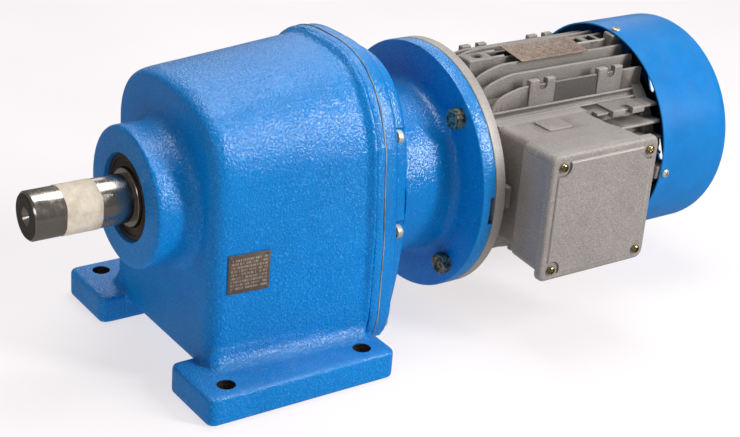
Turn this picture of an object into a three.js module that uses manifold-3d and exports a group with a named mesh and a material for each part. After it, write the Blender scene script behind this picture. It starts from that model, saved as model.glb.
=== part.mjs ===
// Foot-mounted inline helical gear reducer with a flange-mounted fan-cooled motor.
// Units are millimetres. +Z is up and the foot undersides lie on z = 0. +X runs from the
// output shaft towards the motor. The origin is midway between the four foot bolts.
import * as THREE from 'three';
import { mergeVertices } from 'three/addons/utils/BufferGeometryUtils.js';
import Module from 'manifold-3d';

const wasm = await Module();
wasm.setup();

// ---------------------------------------------------------------- driving dimensions
const Z_OUT = 165;            // output shaft height above the feet
const Z_LAY = 85;             // layshaft height
const Z_IN = 143;             // input shaft and motor height
const GAP = 0.3;              // clearance between neighbouring pieces

const FOOT_X = 99.5, FOOT_Y0 = 68, FOOT_Y1 = 144.5, FOOT_H = 27.5, FOOT_R = 9;
const BOLT_X = 72.5, BOLT_Y = 125, BOLT_R = 8.75;

const CASE_X0 = -72, CASE_X1 = 88, LIP_X1 = 100.4;
const CASE_Z0 = 18;           // underside of the casting between the feet
const BOSS_R = 66, BOSS_X = -111.5;
const SEAL_R = 40, POCKET_OUT = 45;

const GASKET_X0 = 100.7, GASKET_X1 = 101.3;
const COVER_X0 = 101.6, COVER_X1 = 118;
const HUMP_X1 = 136;          // rear face of the raised cover body
const NECK_R = 84, NECK_RI = 70;
const FLANGE_X0 = 201.5, FLANGE_X1 = 216.4, FLANGE_R = 125, FLANGE_PCD = 215;
const SPIGOT_R = 90;
const MFL_X0 = 216.7, MFL_X1 = 228.4;      // motor flange disc
const FRAME_X0 = 241, FRAME_X1 = 440;
const BARREL_R = 84, BARREL_RI = 75.3, FIN_R = 104, RAIL_R = 89.5, FIN_X1 = 452;
const COWL_SCREWS = [96, 186, 276, 366];   // degrees about the motor axis
const FIN_AT = [-56, -40, -24, -8, 8, 24, 40, 56];
const COWL_X0 = 446.5, COWL_X1 = 545, COWL_R = 112.9, COWL_T = 1.9;

const BOX_Y_SEAT = -80, BOX_Y_STEP = -121.5, BOX_Y_FACE = -165.7;
const COVER_Y0 = -166, COVER_Y1 = -176;
const BOXC_X0 = 238, BOXC_X1 = 372.5, BOXC_Z0 = 79, BOXC_Z1 = 210;

const SHAFT_TIP = -205.4, SHAFT_R = 22.5;

// gear stages: teeth, transverse module, profile shift of the pinion (the wheel has the opposite)
const HELIX = 12 * Math.PI / 180, ALPHA = 20 * Math.PI / 180, SHIFT = 0.3, BACKLASH = 0.55;
const STAGE2 = { m: 2.5, wheel: 51, pinion: 13, mid: -28 };   // layshaft pinion drives the output gear
const STAGE1 = { m: 2.0, wheel: 45, pinion: 13, mid: 42 };    // input pinion drives the layshaft wheel

const C = {
  paint: 0x0a72c4, alu: 0xa29c96, aluDark: 0x8b8680, steel: 0x8d8a86, steelDark: 0x55524f, iron: 0x4d4b49,
  rubber: 0x2a2622, zinc: 0xc9c7ba, yellow: 0x8b8148, brass: 0xa8976f, plate: 0x7d7264, plateM: 0x97846f,
  copper: 0x9a5b33, lamination: 0x6b6a68, plastic: 0x2f3236, board: 0x5a3a28, sealant: 0xd8d2c2,
};

// ---------------------------------------------------------------- helpers
const root = new THREE.Group();
root.name = 'inline_gear_reducer';

function toManifold(geometry) {
  let g = geometry.index ? geometry.toNonIndexed() : geometry.clone();
  for (const k of Object.keys(g.attributes)) if (k !== 'position') g.deleteAttribute(k);
  g = mergeVertices(g, 1e-4);
  const p = g.attributes.position.array, src = g.index.array, tri = [];
  for (let i = 0; i < src.length; i += 3) {
    const [a, b, c] = [src[i], src[i + 1], src[i + 2]];
    if (a !== b && b !== c && a !== c) tri.push(a, b, c);
  }
  let vol = 0;
  for (let i = 0; i < tri.length; i += 3) {
    const [a, b, c] = [tri[i] * 3, tri[i + 1] * 3, tri[i + 2] * 3];
    vol += p[a] * (p[b + 1] * p[c + 2] - p[b + 2] * p[c + 1])
      - p[a + 1] * (p[b] * p[c + 2] - p[b + 2] * p[c])
      + p[a + 2] * (p[b] * p[c + 1] - p[b + 1] * p[c]);
  }
  if (vol < 0) for (let i = 0; i < tri.length; i += 3) [tri[i + 1], tri[i + 2]] = [tri[i + 2], tri[i + 1]];
  return new wasm.Manifold(new wasm.Mesh({
    numProp: 3, vertProperties: new Float32Array(p), triVerts: new Uint32Array(tri),
  }));
}

function toGeometry(m) {
  const mesh = m.getMesh();
  const g = new THREE.BufferGeometry();
  g.setAttribute('position', new THREE.BufferAttribute(new Float32Array(mesh.vertProperties), 3));
  g.setIndex(new THREE.BufferAttribute(new Uint32Array(mesh.triVerts), 1));
  g.computeVertexNormals();
  return g;
}

function part(name, solid, color, roughness, metalness) {
  const material = new THREE.MeshStandardMaterial({ color, roughness, metalness, flatShading: true });
  const mesh = new THREE.Mesh(toGeometry(solid), material);
  mesh.name = name;
  root.add(mesh);
  return mesh;
}

const cut = (a, ...bs) => bs.reduce((s, b) => s.subtract(b), a);
const join = (a, ...bs) => bs.reduce((s, b) => s.add(b), a);
const rad = (d) => d * Math.PI / 180;

// solid cylinder along X, Y or Z
function cylX(x0, x1, r, y, z, n = 32, r2 = r) {
  const g = new THREE.CylinderGeometry(r2, r, x1 - x0, n);   // top of the cylinder becomes the +X end
  g.rotateZ(-Math.PI / 2);
  g.translate((x0 + x1) / 2, y, z);
  return toManifold(g);
}
function cylY(y0, y1, r, x, z, n = 24, r2 = r) {
  const g = new THREE.CylinderGeometry(r2, r, y1 - y0, n);
  g.translate(x, (y0 + y1) / 2, z);
  return toManifold(g);
}
function cylZ(z0, z1, r, x, y, n = 24, r2 = r) {
  const g = new THREE.CylinderGeometry(r2, r, z1 - z0, n);
  g.rotateX(Math.PI / 2);
  g.translate(x, y, (z0 + z1) / 2);
  return toManifold(g);
}
function box(x0, x1, y0, y1, z0, z1) {
  const g = new THREE.BoxGeometry(x1 - x0, y1 - y0, z1 - z0);
  g.translate((x0 + x1) / 2, (y0 + y1) / 2, (z0 + z1) / 2);
  return toManifold(g);
}
// body of revolution about an axis parallel to X; profile is a list of [x, r]
function turn(profile, y, z, n = 32) {
  const closesOnAxis = profile[0][1] === 0 && profile[profile.length - 1][1] === 0;
  const pts = profile.map(([x, r]) => new THREE.Vector2(r, x));
  if (!closesOnAxis) pts.push(pts[0].clone());
  const g = new THREE.LatheGeometry(pts, n);
  g.rotateZ(-Math.PI / 2);
  g.translate(0, y, z);
  return toManifold(g);
}
// extrusion of a YZ outline along X
function prism(outline, x0, x1, holes = []) {
  const shape = new THREE.Shape(outline.map(([y, z]) => new THREE.Vector2(y, z)));
  for (const h of holes) shape.holes.push(new THREE.Path(h.map(([y, z]) => new THREE.Vector2(y, z))));
  const g = new THREE.ExtrudeGeometry(shape, { depth: x1 - x0, bevelEnabled: false, steps: 1 });
  g.applyMatrix4(new THREE.Matrix4().set(0, 0, 1, x0, 1, 0, 0, 0, 0, 1, 0, 0, 0, 0, 0, 1));
  return toManifold(g);
}
// skin through several outlines with the same number of points; each section is [x, outline]
function loft(sections) {
  const n = sections.length;
  const first = sections[0][1];
  const shape = new THREE.Shape(first.map(([y, z]) => new THREE.Vector2(y, z)));
  const g = new THREE.ExtrudeGeometry(shape, { depth: n - 1, bevelEnabled: false, steps: n - 1 });
  const pos = g.attributes.position;
  for (let i = 0; i < pos.count; i++) {
    const k = Math.round(pos.getZ(i));
    let best = 0, bd = Infinity;
    for (let j = 0; j < first.length; j++) {
      const d = (first[j][0] - pos.getX(i)) ** 2 + (first[j][1] - pos.getY(i)) ** 2;
      if (d < bd) { bd = d; best = j; }
    }
    const [x, outline] = sections[k];
    pos.setXYZ(i, x, outline[best][0], outline[best][1]);
  }
  return toManifold(g);
}
// rounded rectangle outline, counter-clockwise
function roundRect(a0, a1, b0, b1, r, n = 2) {
  const out = [];
  for (const [ca, cb, s] of [[a1 - r, b0 + r, -90], [a1 - r, b1 - r, 0], [a0 + r, b1 - r, 90], [a0 + r, b0 + r, 180]]) {
    for (let i = 0; i <= n; i++) {
      const t = rad(s + 90 * i / n);
      out.push([ca + r * Math.cos(t), cb + r * Math.sin(t)]);
    }
  }
  return out;
}
// extrusion of an XY outline along Z, and of an XZ outline along Y
function prismZ(outline, z0, z1) {
  const shape = new THREE.Shape(outline.map(([x, y]) => new THREE.Vector2(x, y)));
  const g = new THREE.ExtrudeGeometry(shape, { depth: z1 - z0, bevelEnabled: false });
  g.translate(0, 0, z0);
  return toManifold(g);
}
function prismY(outline, y0, y1) {
  const shape = new THREE.Shape(outline.map(([x, z]) => new THREE.Vector2(x, z)));
  const g = new THREE.ExtrudeGeometry(shape, { depth: y1 - y0, bevelEnabled: false });
  g.applyMatrix4(new THREE.Matrix4().set(1, 0, 0, 0, 0, 0, -1, y1, 0, 1, 0, 0, 0, 0, 0, 1));
  return toManifold(g);
}
// three-centre arch in the YZ plane: half width W, shoulder radius rc, crown radius R, crown height zt;
// lower lists the points below the shoulder on the +Y side, from the top down
function arch(W, rc, R, zt, lower, nTop = 3, nSide = 4) {
  const zc = zt - R, zs = zc + Math.sqrt((R - rc) ** 2 - (W - rc) ** 2);
  const a = Math.atan2(W - rc, zs - zc);
  const half = [];
  for (let i = 1; i <= nTop; i++) { const t = a * i / nTop; half.push([R * Math.sin(t), zc + R * Math.cos(t)]); }
  for (let i = 1; i <= nSide; i++) {
    const t = a + (Math.PI / 2 - a) * i / nSide;
    half.push([(W - rc) + rc * Math.sin(t), zs + rc * Math.cos(t)]);
  }
  for (const p of lower) half.push(p);
  const left = half.map(([y, z]) => [-y, z]);
  // counter-clockwise: crown, down the -Y side, up the +Y side
  return [[0, zt], ...left, ...half.reverse()];
}
const ringOutline = (r, y, z, n) => Array.from({ length: n }, (_, i) => [y + r * Math.cos(2 * Math.PI * i / n), z + r * Math.sin(2 * Math.PI * i / n)]);

// ---------------------------------------------------------------- gears
// involute outline of a gear, points [angle, radius] counter-clockwise
function toothOutline(z, m, x) {
  const r = m * z / 2, rb = r * Math.cos(ALPHA), ra = r + m * (1 + x) - 0.05 * m, rf = r - m * (1.25 - x);
  const inv = (a) => Math.tan(a) - a;
  const half = (Math.PI / 2 + 2 * x * Math.tan(ALPHA)) / z - BACKLASH / 2 / r / 2;
  const r0 = Math.max(rb, rf + 0.1 * m);
  const at = (q) => half + inv(ALPHA) - inv(Math.acos(Math.min(1, rb / q)));
  const radii = [r0, r, ra];
  const out = [];
  for (let i = 0; i < z; i++) {
    const c = 2 * Math.PI * i / z;
    out.push([c - at(r0), rf]);
    for (const q of radii.slice(1)) out.push([c - at(q), q]);
    for (const q of radii.slice(1).reverse()) out.push([c + at(q), q]);
    out.push([c + at(r0), rf]);
  }
  return out;
}
// helical gear body; phase is the angle of tooth 0 at x = mid, hand is the sign of the twist along +X
function gearBody(z, m, x, x0, x1, mid, phase, hand, steps, cy, cz) {
  const r = m * z / 2;
  const outline = toothOutline(z, m, x).map(([a, q]) => [q * Math.cos(a), q * Math.sin(a)]);
  const shape = new THREE.Shape(outline.map(([y, zz]) => new THREE.Vector2(y, zz)));
  const g = new THREE.ExtrudeGeometry(shape, { depth: x1 - x0, bevelEnabled: false, steps });
  const pos = g.attributes.position;
  for (let i = 0; i < pos.count; i++) {
    const y = pos.getX(i), zz = pos.getY(i), xx = x0 + pos.getZ(i);
    const t = phase + hand * Math.tan(HELIX) * (xx - mid) / r;
    pos.setXYZ(i, xx, cy + y * Math.cos(t) - zz * Math.sin(t), cz + y * Math.sin(t) + zz * Math.cos(t));
  }
  return toManifold(g);
}
const UP = Math.PI / 2, DOWN = -Math.PI / 2;
const N_OUT = 20, N_IN = 16;   // facets round the output line and round the other shafts

// ---------------------------------------------------------------- gear case
const caseLow = (W) => [[W, 118], [W, 40], [W, CASE_Z0]];
const caseSec = (x, W, rc, R, zt, inset = 0) => [x, arch(W - inset, rc - inset * 0.6, R - inset, zt - inset * 0.65,
  [[W - inset, 118], [W - inset, 40], [W - inset, CASE_Z0 + inset * 0.35]])];
// rear of the casting: superelliptic shoulders over sides that splay outwards towards the feet
const splay = (W, H, template, low) => template.map(([y, z]) => {
  if (z <= 117) return [Math.sign(y) * low(z), z];
  const q = (Math.abs(y / W) ** 2.7 + ((z - 110) / H) ** 2.7) ** (-1 / 2.7);
  return [y * q, 110 + (z - 110) * q];
});
const rearWall = () => splay(103, 175.5, arch(99.5, 66, 209, 281.6, [[99.5, 118], [99.5, 40], [99.5, CASE_Z0]]), (z) => 103 + (110 - z) * 0.035);
const lipOutline = (i = 0) => splay(108 - i, 180.3 - i, arch(104.5, 71, 219, 287.5, [[104.5, 118], [104.5, 50], [104.5, 31], [104.5, CASE_Z0]]),
  (z) => (z > 40 ? 108 : z > 25 ? 104.5 : 98.5) - i).map(([y, z]) => [y, Math.max(z, CASE_Z0 + i)]);
// the raised body of the cover draws in towards its foot
const humpOutline = (i) => lipOutline(i).map(([y, z]) => [Math.sign(y) * Math.min(Math.abs(y), 108 - i - 13 * Math.max(0, (125 - z) / 91) ** 1.6), z]);
const COVER_SCREWS = [[-88.6, 218], [-99.5, 127], [-88, 27], [88, 27], [99.5, 127], [88.6, 218]];

function buildCase() {
  let body = loft([
    caseSec(CASE_X0, 92.5, 61, 190, 272, 13.5),
    caseSec(CASE_X0 + 3.2, 92.5, 61, 190, 272, 6.6),
    caseSec(CASE_X0 + 8, 93, 61.5, 191, 272.4, 2.2),
    caseSec(CASE_X0 + 15, 93.4, 62, 192, 272.8, 0),
    [CASE_X1 + 2, rearWall()],
  ]);
  body = join(body, prism(lipOutline(), CASE_X1, LIP_X1));
  // output bearing boss with a cast root fillet
  const boss = [[-60, 0], [-60, 79], [-71.8, 77.5], [-75.5, 69.6], [-84, BOSS_R], [BOSS_X + 1.6, BOSS_R], [BOSS_X, BOSS_R - 1.8], [BOSS_X, 0]];
  body = join(body, turn(boss, 0, Z_OUT, 32));
  // feet, with a cove where the wall runs into them
  for (const s of [-1, 1]) {
    const y0 = Math.min(s * FOOT_Y0, s * FOOT_Y1), y1 = Math.max(s * FOOT_Y0, s * FOOT_Y1);
    body = join(body, prismZ(roundRect(-FOOT_X, FOOT_X, y0, y1, FOOT_R, 2), 0, FOOT_H));
    const cove = [];
    for (let i = 0; i <= 3; i++) {
      const t = rad(90 * i / 3);
      cove.push([s * (112 - 17 * Math.sin(t)), FOOT_H - 0.4 + 17 - 17 * Math.cos(t)]);
    }
    cove.push([s * 80, FOOT_H + 17], [s * 80, FOOT_H - 6], [s * 112, FOOT_H - 6]);
    if (s < 0) cove.reverse();
    const section = s < 0 ? cove.reverse() : cove;
    body = join(body, loft([[-66, section], [88, section.map(([y, z]) => [y + s * 9.5, z])]]));
  }
  // cross rib between the feet, flush with the foot undersides
  body = join(body, box(-12, 12, -FOOT_Y0 - 3, FOOT_Y0 + 3, 0, 40));
  // gear chamber, open at the rear
  const inner = (x, W, rc, R, zt) => [x, arch(W, rc, R, zt, [[W, 118], [W, 60], [W - 14, 36]])];
  body = cut(body, loft([inner(-60, 82.5, 52, 180, 262), inner(LIP_X1 + 5, 84, 53, 190, 266)]));
  // bearing bosses inside the front wall, and the landings for the bearing bridge
  body = join(body, cylX(-66, -50, 33, 0, Z_LAY, N_IN), cylX(-70, -58, 53, 0, Z_OUT, N_OUT));
  for (const s of [-1, 1]) {
    const a = s * 71, b = s * 90;
    body = join(body, box(-14, 1.7, Math.min(a, b), Math.max(a, b), 142, 188));
  }
  body = cut(body,
    cylX(BOSS_X - 1, -95.7, SEAL_R + 0.15, 0, Z_OUT, N_OUT),
    cylX(-96, -93.5, 36, 0, Z_OUT, N_OUT),
    cylX(-93.8, -57, POCKET_OUT + 0.15, 0, Z_OUT, N_OUT),
    cylX(-67, -49, 26.15, 0, Z_LAY, N_IN));
  for (const sx of [-1, 1]) for (const sy of [-1, 1]) body = cut(body, cylZ(-1, FOOT_H + 12, BOLT_R, sx * BOLT_X, sy * BOLT_Y, 16));
  for (const [y, z] of COVER_SCREWS) body = cut(body, cylX(90.5, LIP_X1 + 1, 4.3, y, z, 8));
  // threaded boss for the oil plug on the far side
  body = cut(join(body, cylY(88, 101.5, 15, 26, 196, 12)), cylY(80, 103, 9.3, 26, 196, 12));
  return body;
}
part('gear_case', buildCase(), C.paint, 0.38, 0.0);

{
  const holes = COVER_SCREWS.map(([y, z]) => ringOutline(5.2, y, z, 8));
  const inner = arch(82.8, 52, 188.8, 264.8, [[82.8, 118], [82.8, 62], [70, 38]]);
  part('case_sealant', prism(lipOutline(-0.7), GASKET_X0, GASKET_X1, [inner, ...holes]), C.sealant, 0.7, 0.0);
}

// hexagon-head oil plug in the far wall
{
  const plug = join(cylY(82, 101.9, 8.9, 26, 196, 12), cylY(101.8, 103.6, 13.5, 26, 196, 12), cylY(103.5, 113, 11, 26, 196, 6));
  part('oil_plug', plug, C.steelDark, 0.45, 0.8);
}

// rating plate on the near wall, which leans outwards towards the rear
{
  const wall = (x) => 93.4 + (x - (CASE_X0 + 15)) * (103 - 93.4) / (CASE_X1 + 2 - CASE_X0 - 15);
  const sec = (x) => [x, [[-wall(x) - 1.2, 98], [-wall(x) - GAP, 98], [-wall(x) - GAP, 136], [-wall(x) - 1.2, 136]]];
  part('case_nameplate', loft([sec(-56.8), sec(-15.5)]), C.plate, 0.55, 0.5);
}

// ---------------------------------------------------------------- rear cover with motor adapter
const FLANGE_BOLTS = [45, 135, 225, 315].map((d) => [FLANGE_PCD / 2 * Math.cos(rad(d)), Z_IN + FLANGE_PCD / 2 * Math.sin(rad(d))]);
function buildCover() {
  let c = loft([[COVER_X0, lipOutline()], [COVER_X1 - 5.5, lipOutline(0.3)], [COVER_X1 - 2, lipOutline(1.8)], [COVER_X1, lipOutline(5)]]);
  // raised body behind the rim, with a spot face round each screw
  let hump = loft([[COVER_X1 - 2, humpOutline(12)], [HUMP_X1 - 4.5, humpOutline(12.6)], [HUMP_X1 - 1.3, humpOutline(14.2)], [HUMP_X1, humpOutline(17.5)]]);
  for (const [y, z] of COVER_SCREWS) hump = cut(hump, cylX(COVER_X1 - 3, HUMP_X1 + 1, 9, y, z, 12));
  c = join(c, hump);
  const shell = [[COVER_X0 + 2, 0], [COVER_X0 + 2, 79], [HUMP_X1 - 3, 79], [HUMP_X1 - 0.4, NECK_R + 6], [HUMP_X1 + 3, NECK_R + 1.6], [HUMP_X1 + 7.5, NECK_R],
    [FLANGE_X0 - 10, NECK_R], [FLANGE_X0 - 3.5, NECK_R + 3.4], [FLANGE_X0, NECK_R + 9.5], [FLANGE_X0, FLANGE_R - 1.5], [FLANGE_X0 + 1.5, FLANGE_R],
    [FLANGE_X1 - 0.8, FLANGE_R], [FLANGE_X1, FLANGE_R - 0.8], [FLANGE_X1, 0]];
  c = join(c, turn(shell, 0, Z_IN, 40));
  c = cut(c, cylX(COVER_X0 + 10.5, FLANGE_X1 + 1, NECK_RI, 0, Z_IN, 28), cylX(FLANGE_X1 - 4.5, FLANGE_X1 + 1, SPIGOT_R + 0.3, 0, Z_IN, 32));
  // input bearing hub, layshaft bearing hub
  c = join(c, cylX(COVER_X0 + 5, 136, 47, 0, Z_IN, N_IN));
  c = join(c, cylX(82, COVER_X0 + 6, 34, 0, Z_LAY, N_IN));
  c = cut(c, cylX(COVER_X0 - 6, 137, 28, 0, Z_IN, N_IN), cylX(105, 137, 36.15, 0, Z_IN, N_IN), cylX(80, 99.6, 26.15, 0, Z_LAY, N_IN));
  for (const [y, z] of COVER_SCREWS) c = cut(c, cylX(COVER_X0 - 1, COVER_X1 + 1, 4.6, y, z, 8));
  for (const [y, z] of FLANGE_BOLTS) c = cut(c, cylX(FLANGE_X0 - 1, FLANGE_X1 + 1, 7.2, y, z, 10));
  // drain notch in the joint face of the flange, near side
  c = cut(c, box(FLANGE_X1 - 6.5, FLANGE_X1 + 1, -FLANGE_R - 4, -114, 126, 154));
  return c;
}
part('rear_cover', buildCover(), C.paint, 0.38, 0.0);

COVER_SCREWS.forEach(([y, z], i) => {
  const s = join(cylX(91, COVER_X1 + 0.6, 3.9, y, z, 8), turn([[COVER_X1 + 0.3, 0], [COVER_X1 + 0.3, 6.5], [COVER_X1 + 4.5, 6.5], [COVER_X1 + 7, 4.6], [COVER_X1 + 7, 0]], y, z, 10));
  part(`cover_screw_${i + 1}`, s, C.zinc, 0.4, 0.7);
});

FLANGE_BOLTS.forEach(([y, z], i) => {
  const s = join(cylX(FLANGE_X0 - 0.7, MFL_X1 - 1.2, 6, y, z, 8), cylX(FLANGE_X0 - 9.3, FLANGE_X0 - GAP, 10.9, y, z, 6));
  part(`flange_bolt_${i + 1}`, s, C.yellow, 0.4, 0.8);
});

// ---------------------------------------------------------------- output shaft line
const keyOutline = (() => {
  const out = [], x0 = -199, x1 = -119, r = 7;
  for (let i = 0; i <= 6; i++) { const t = rad(-90 + 180 * i / 6); out.push([x1 - r + r * Math.cos(t), Z_OUT + r * Math.sin(t)]); }
  for (let i = 0; i <= 6; i++) { const t = rad(90 + 180 * i / 6); out.push([x0 + r + r * Math.cos(t), Z_OUT + r * Math.sin(t)]); }
  return out;
})();
function grow(outline, d) {
  const cx = outline.reduce((a, p) => a + p[0], 0) / outline.length;
  return outline.map(([x, z]) => [x + Math.sign(x - cx) * d, z + Math.sign(z - Z_OUT) * d]);
}
{
  const profile = [[SHAFT_TIP, 0], [SHAFT_TIP, SHAFT_R - 2], [SHAFT_TIP + 2, SHAFT_R], [-110.5, SHAFT_R], [-110.5, 27], [-104.6, 27], [-104.2, 25.6], [-101.8, 25.6],
    [-101.4, 27], [-94.4, 27], [-94.4, 24.85], [-70.5, 24.85], [-70.5, 31], [-50, 31], [-50, 27.5], [-7.5, 27.5], [-7.5, 24], [1.6, 24], [1.6, 19.85], [22.4, 19.85], [22.4, 0]];
  let s = turn(profile, 0, Z_OUT, N_OUT);
  s = cut(s, turn([[SHAFT_TIP - 0.5, 0], [SHAFT_TIP - 0.5, 8.2], [SHAFT_TIP + 5.5, 4], [SHAFT_TIP + 18, 4], [SHAFT_TIP + 18, 0]], 0, Z_OUT, 12));
  s = cut(s, prismY(grow(keyOutline, GAP), 16.8, 24));
  part('output_shaft', s, C.steel, 0.28, 1.0);
  part('output_key', prismY(keyOutline, 17.1, 26.2), C.steelDark, 0.4, 1.0);
}
{
  let g = gearBody(STAGE2.wheel, STAGE2.m, -SHIFT, -48, -8, STAGE2.mid, DOWN + Math.PI / STAGE2.wheel, 1, 1, 0, Z_OUT);
  g = cut(g, cylX(-49, -7, 27.9, 0, Z_OUT, N_OUT));
  part('output_gear', g, C.steel, 0.35, 1.0);
}
part('output_oil_seal', turn([[-107.5, SEAL_R - 0.15], [-97.3, SEAL_R - 0.15], [-97.3, 27.6], [-99.2, 27.6], [-100.4, 32], [-105.4, 32], [-106.2, 27.6], [-107.5, 27.6]], 0, Z_OUT, N_OUT), C.rubber, 0.6, 0.0);

// a rolling bearing is an inner and an outer ring
function bearing(name, x0, w, rBore, rOut, z, n = N_IN) {
  const t = (rOut - rBore), ri = rBore + t * 0.3, ro = rOut - t * 0.3;
  part(`${name}_inner_ring`, turn([[x0, rBore + 0.15], [x0, ri], [x0 + w, ri], [x0 + w, rBore + 0.15]], 0, z, n), C.steel, 0.2, 1.0);
  part(`${name}_outer_ring`, turn([[x0, ro], [x0, rOut - 0.15], [x0 + w, rOut - 0.15], [x0 + w, ro]], 0, z, n), C.steel, 0.2, 1.0);
}
bearing('output_front_bearing', -93.4, 20, 25, 45, Z_OUT, N_OUT);
bearing('output_rear_bearing', 2, 18, 20, 40, Z_OUT, N_OUT);
{
  // bridge carrying the inner end of the output shaft
  const outline = [];
  for (let i = 0; i <= 10; i++) { const t = rad(-68 + (68 + 68) * i / 10 - 90); outline.push([52 * Math.cos(t), Z_OUT + 52 * Math.sin(t)]); }
  outline.push([81.5, 146], [81.5, 184]);
  for (let i = 0; i <= 10; i++) { const t = rad(22 + 136 * i / 10); outline.push([52 * Math.cos(t), Z_OUT + 52 * Math.sin(t)]); }
  outline.push([-81.5, 184], [-81.5, 146]);
  let b = prism(outline, 2, 22);
  b = cut(b, cylX(1, 21, 40.15, 0, Z_OUT, N_OUT), cylX(20, 23, 31, 0, Z_OUT, N_OUT));
  part('bearing_bridge', b, C.iron, 0.6, 0.6);
}

// ---------------------------------------------------------------- layshaft line
{
  const s = turn([[-66, 0], [-66, 9.85], [-51, 9.85], [-51, 13], [-5, 13], [-5, 14], [25.4, 14], [25.4, 18], [29.7, 18], [29.7, 14], [54.6, 14],
    [54.6, 12], [83.6, 12], [83.6, 9.85], [98.6, 9.85], [98.6, 0]], 0, Z_LAY, N_IN);
  const pinion = gearBody(STAGE2.pinion, STAGE2.m, SHIFT, -50, -6, STAGE2.mid, UP, -1, 2, 0, Z_LAY);
  part('layshaft', join(s, pinion), C.steel, 0.3, 1.0);
  let g = gearBody(STAGE1.wheel, STAGE1.m, -SHIFT, 30, 54, STAGE1.mid, UP + Math.PI / STAGE1.wheel, -1, 1, 0, Z_LAY);
  g = cut(g, cylX(29, 55, 14.35, 0, Z_LAY, N_IN));
  part('layshaft_gear', g, C.steel, 0.35, 1.0);
}
bearing('layshaft_front_bearing', -66.5, 15, 10, 26, Z_LAY);
bearing('layshaft_rear_bearing', 84, 15, 10, 26, Z_LAY);

// ---------------------------------------------------------------- input shaft line
{
  const s = turn([[27, 0], [27, 10.4], [57, 10.4], [60, 14], [104, 14], [105.4, 17.35], [122.6, 17.35], [122.6, 24], [212, 24], [212, 14.3], [150, 14.3], [150, 0]], 0, Z_IN, N_IN);
  const pinion = gearBody(STAGE1.pinion, STAGE1.m, SHIFT, 28, 56, STAGE1.mid, DOWN, 1, 2, 0, Z_IN);
  part('input_shaft', join(s, pinion), C.steel, 0.3, 1.0);
}
bearing('input_bearing', 105.3, 17, 17.5, 36, Z_IN);
part('input_oil_seal', turn([[124.5, 36 - 0.15], [133, 36 - 0.15], [133, 24.6], [124.5, 24.6]], 0, Z_IN, N_IN), C.rubber, 0.6, 0.0);

// ---------------------------------------------------------------- motor
{
  const profile = [[MFL_X0 - 3.6, 22], [MFL_X0 - 3.6, SPIGOT_R - 0.2], [MFL_X0, SPIGOT_R - 0.2], [MFL_X0, FLANGE_R], [MFL_X1, FLANGE_R], [MFL_X1, 97], [FRAME_X0 - GAP, 97],
    [FRAME_X0 - GAP, BARREL_RI - 0.35], [246, BARREL_RI - 0.35], [246, 68], [236, 68], [236, 39], [257, 39], [257, 31.15], [240.3, 31.15], [240.3, 22]];
  let s = turn(profile, 0, Z_IN, 32);
  for (const [y, z] of FLANGE_BOLTS) s = cut(s, cylX(MFL_X0 - 1, MFL_X1 + 1, 6.3, y, z, 8));
  part('motor_flange_shield', s, C.alu, 0.55, 0.6);
}
bearing('motor_drive_bearing', 241, 16, 15, 31, Z_IN);

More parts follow.
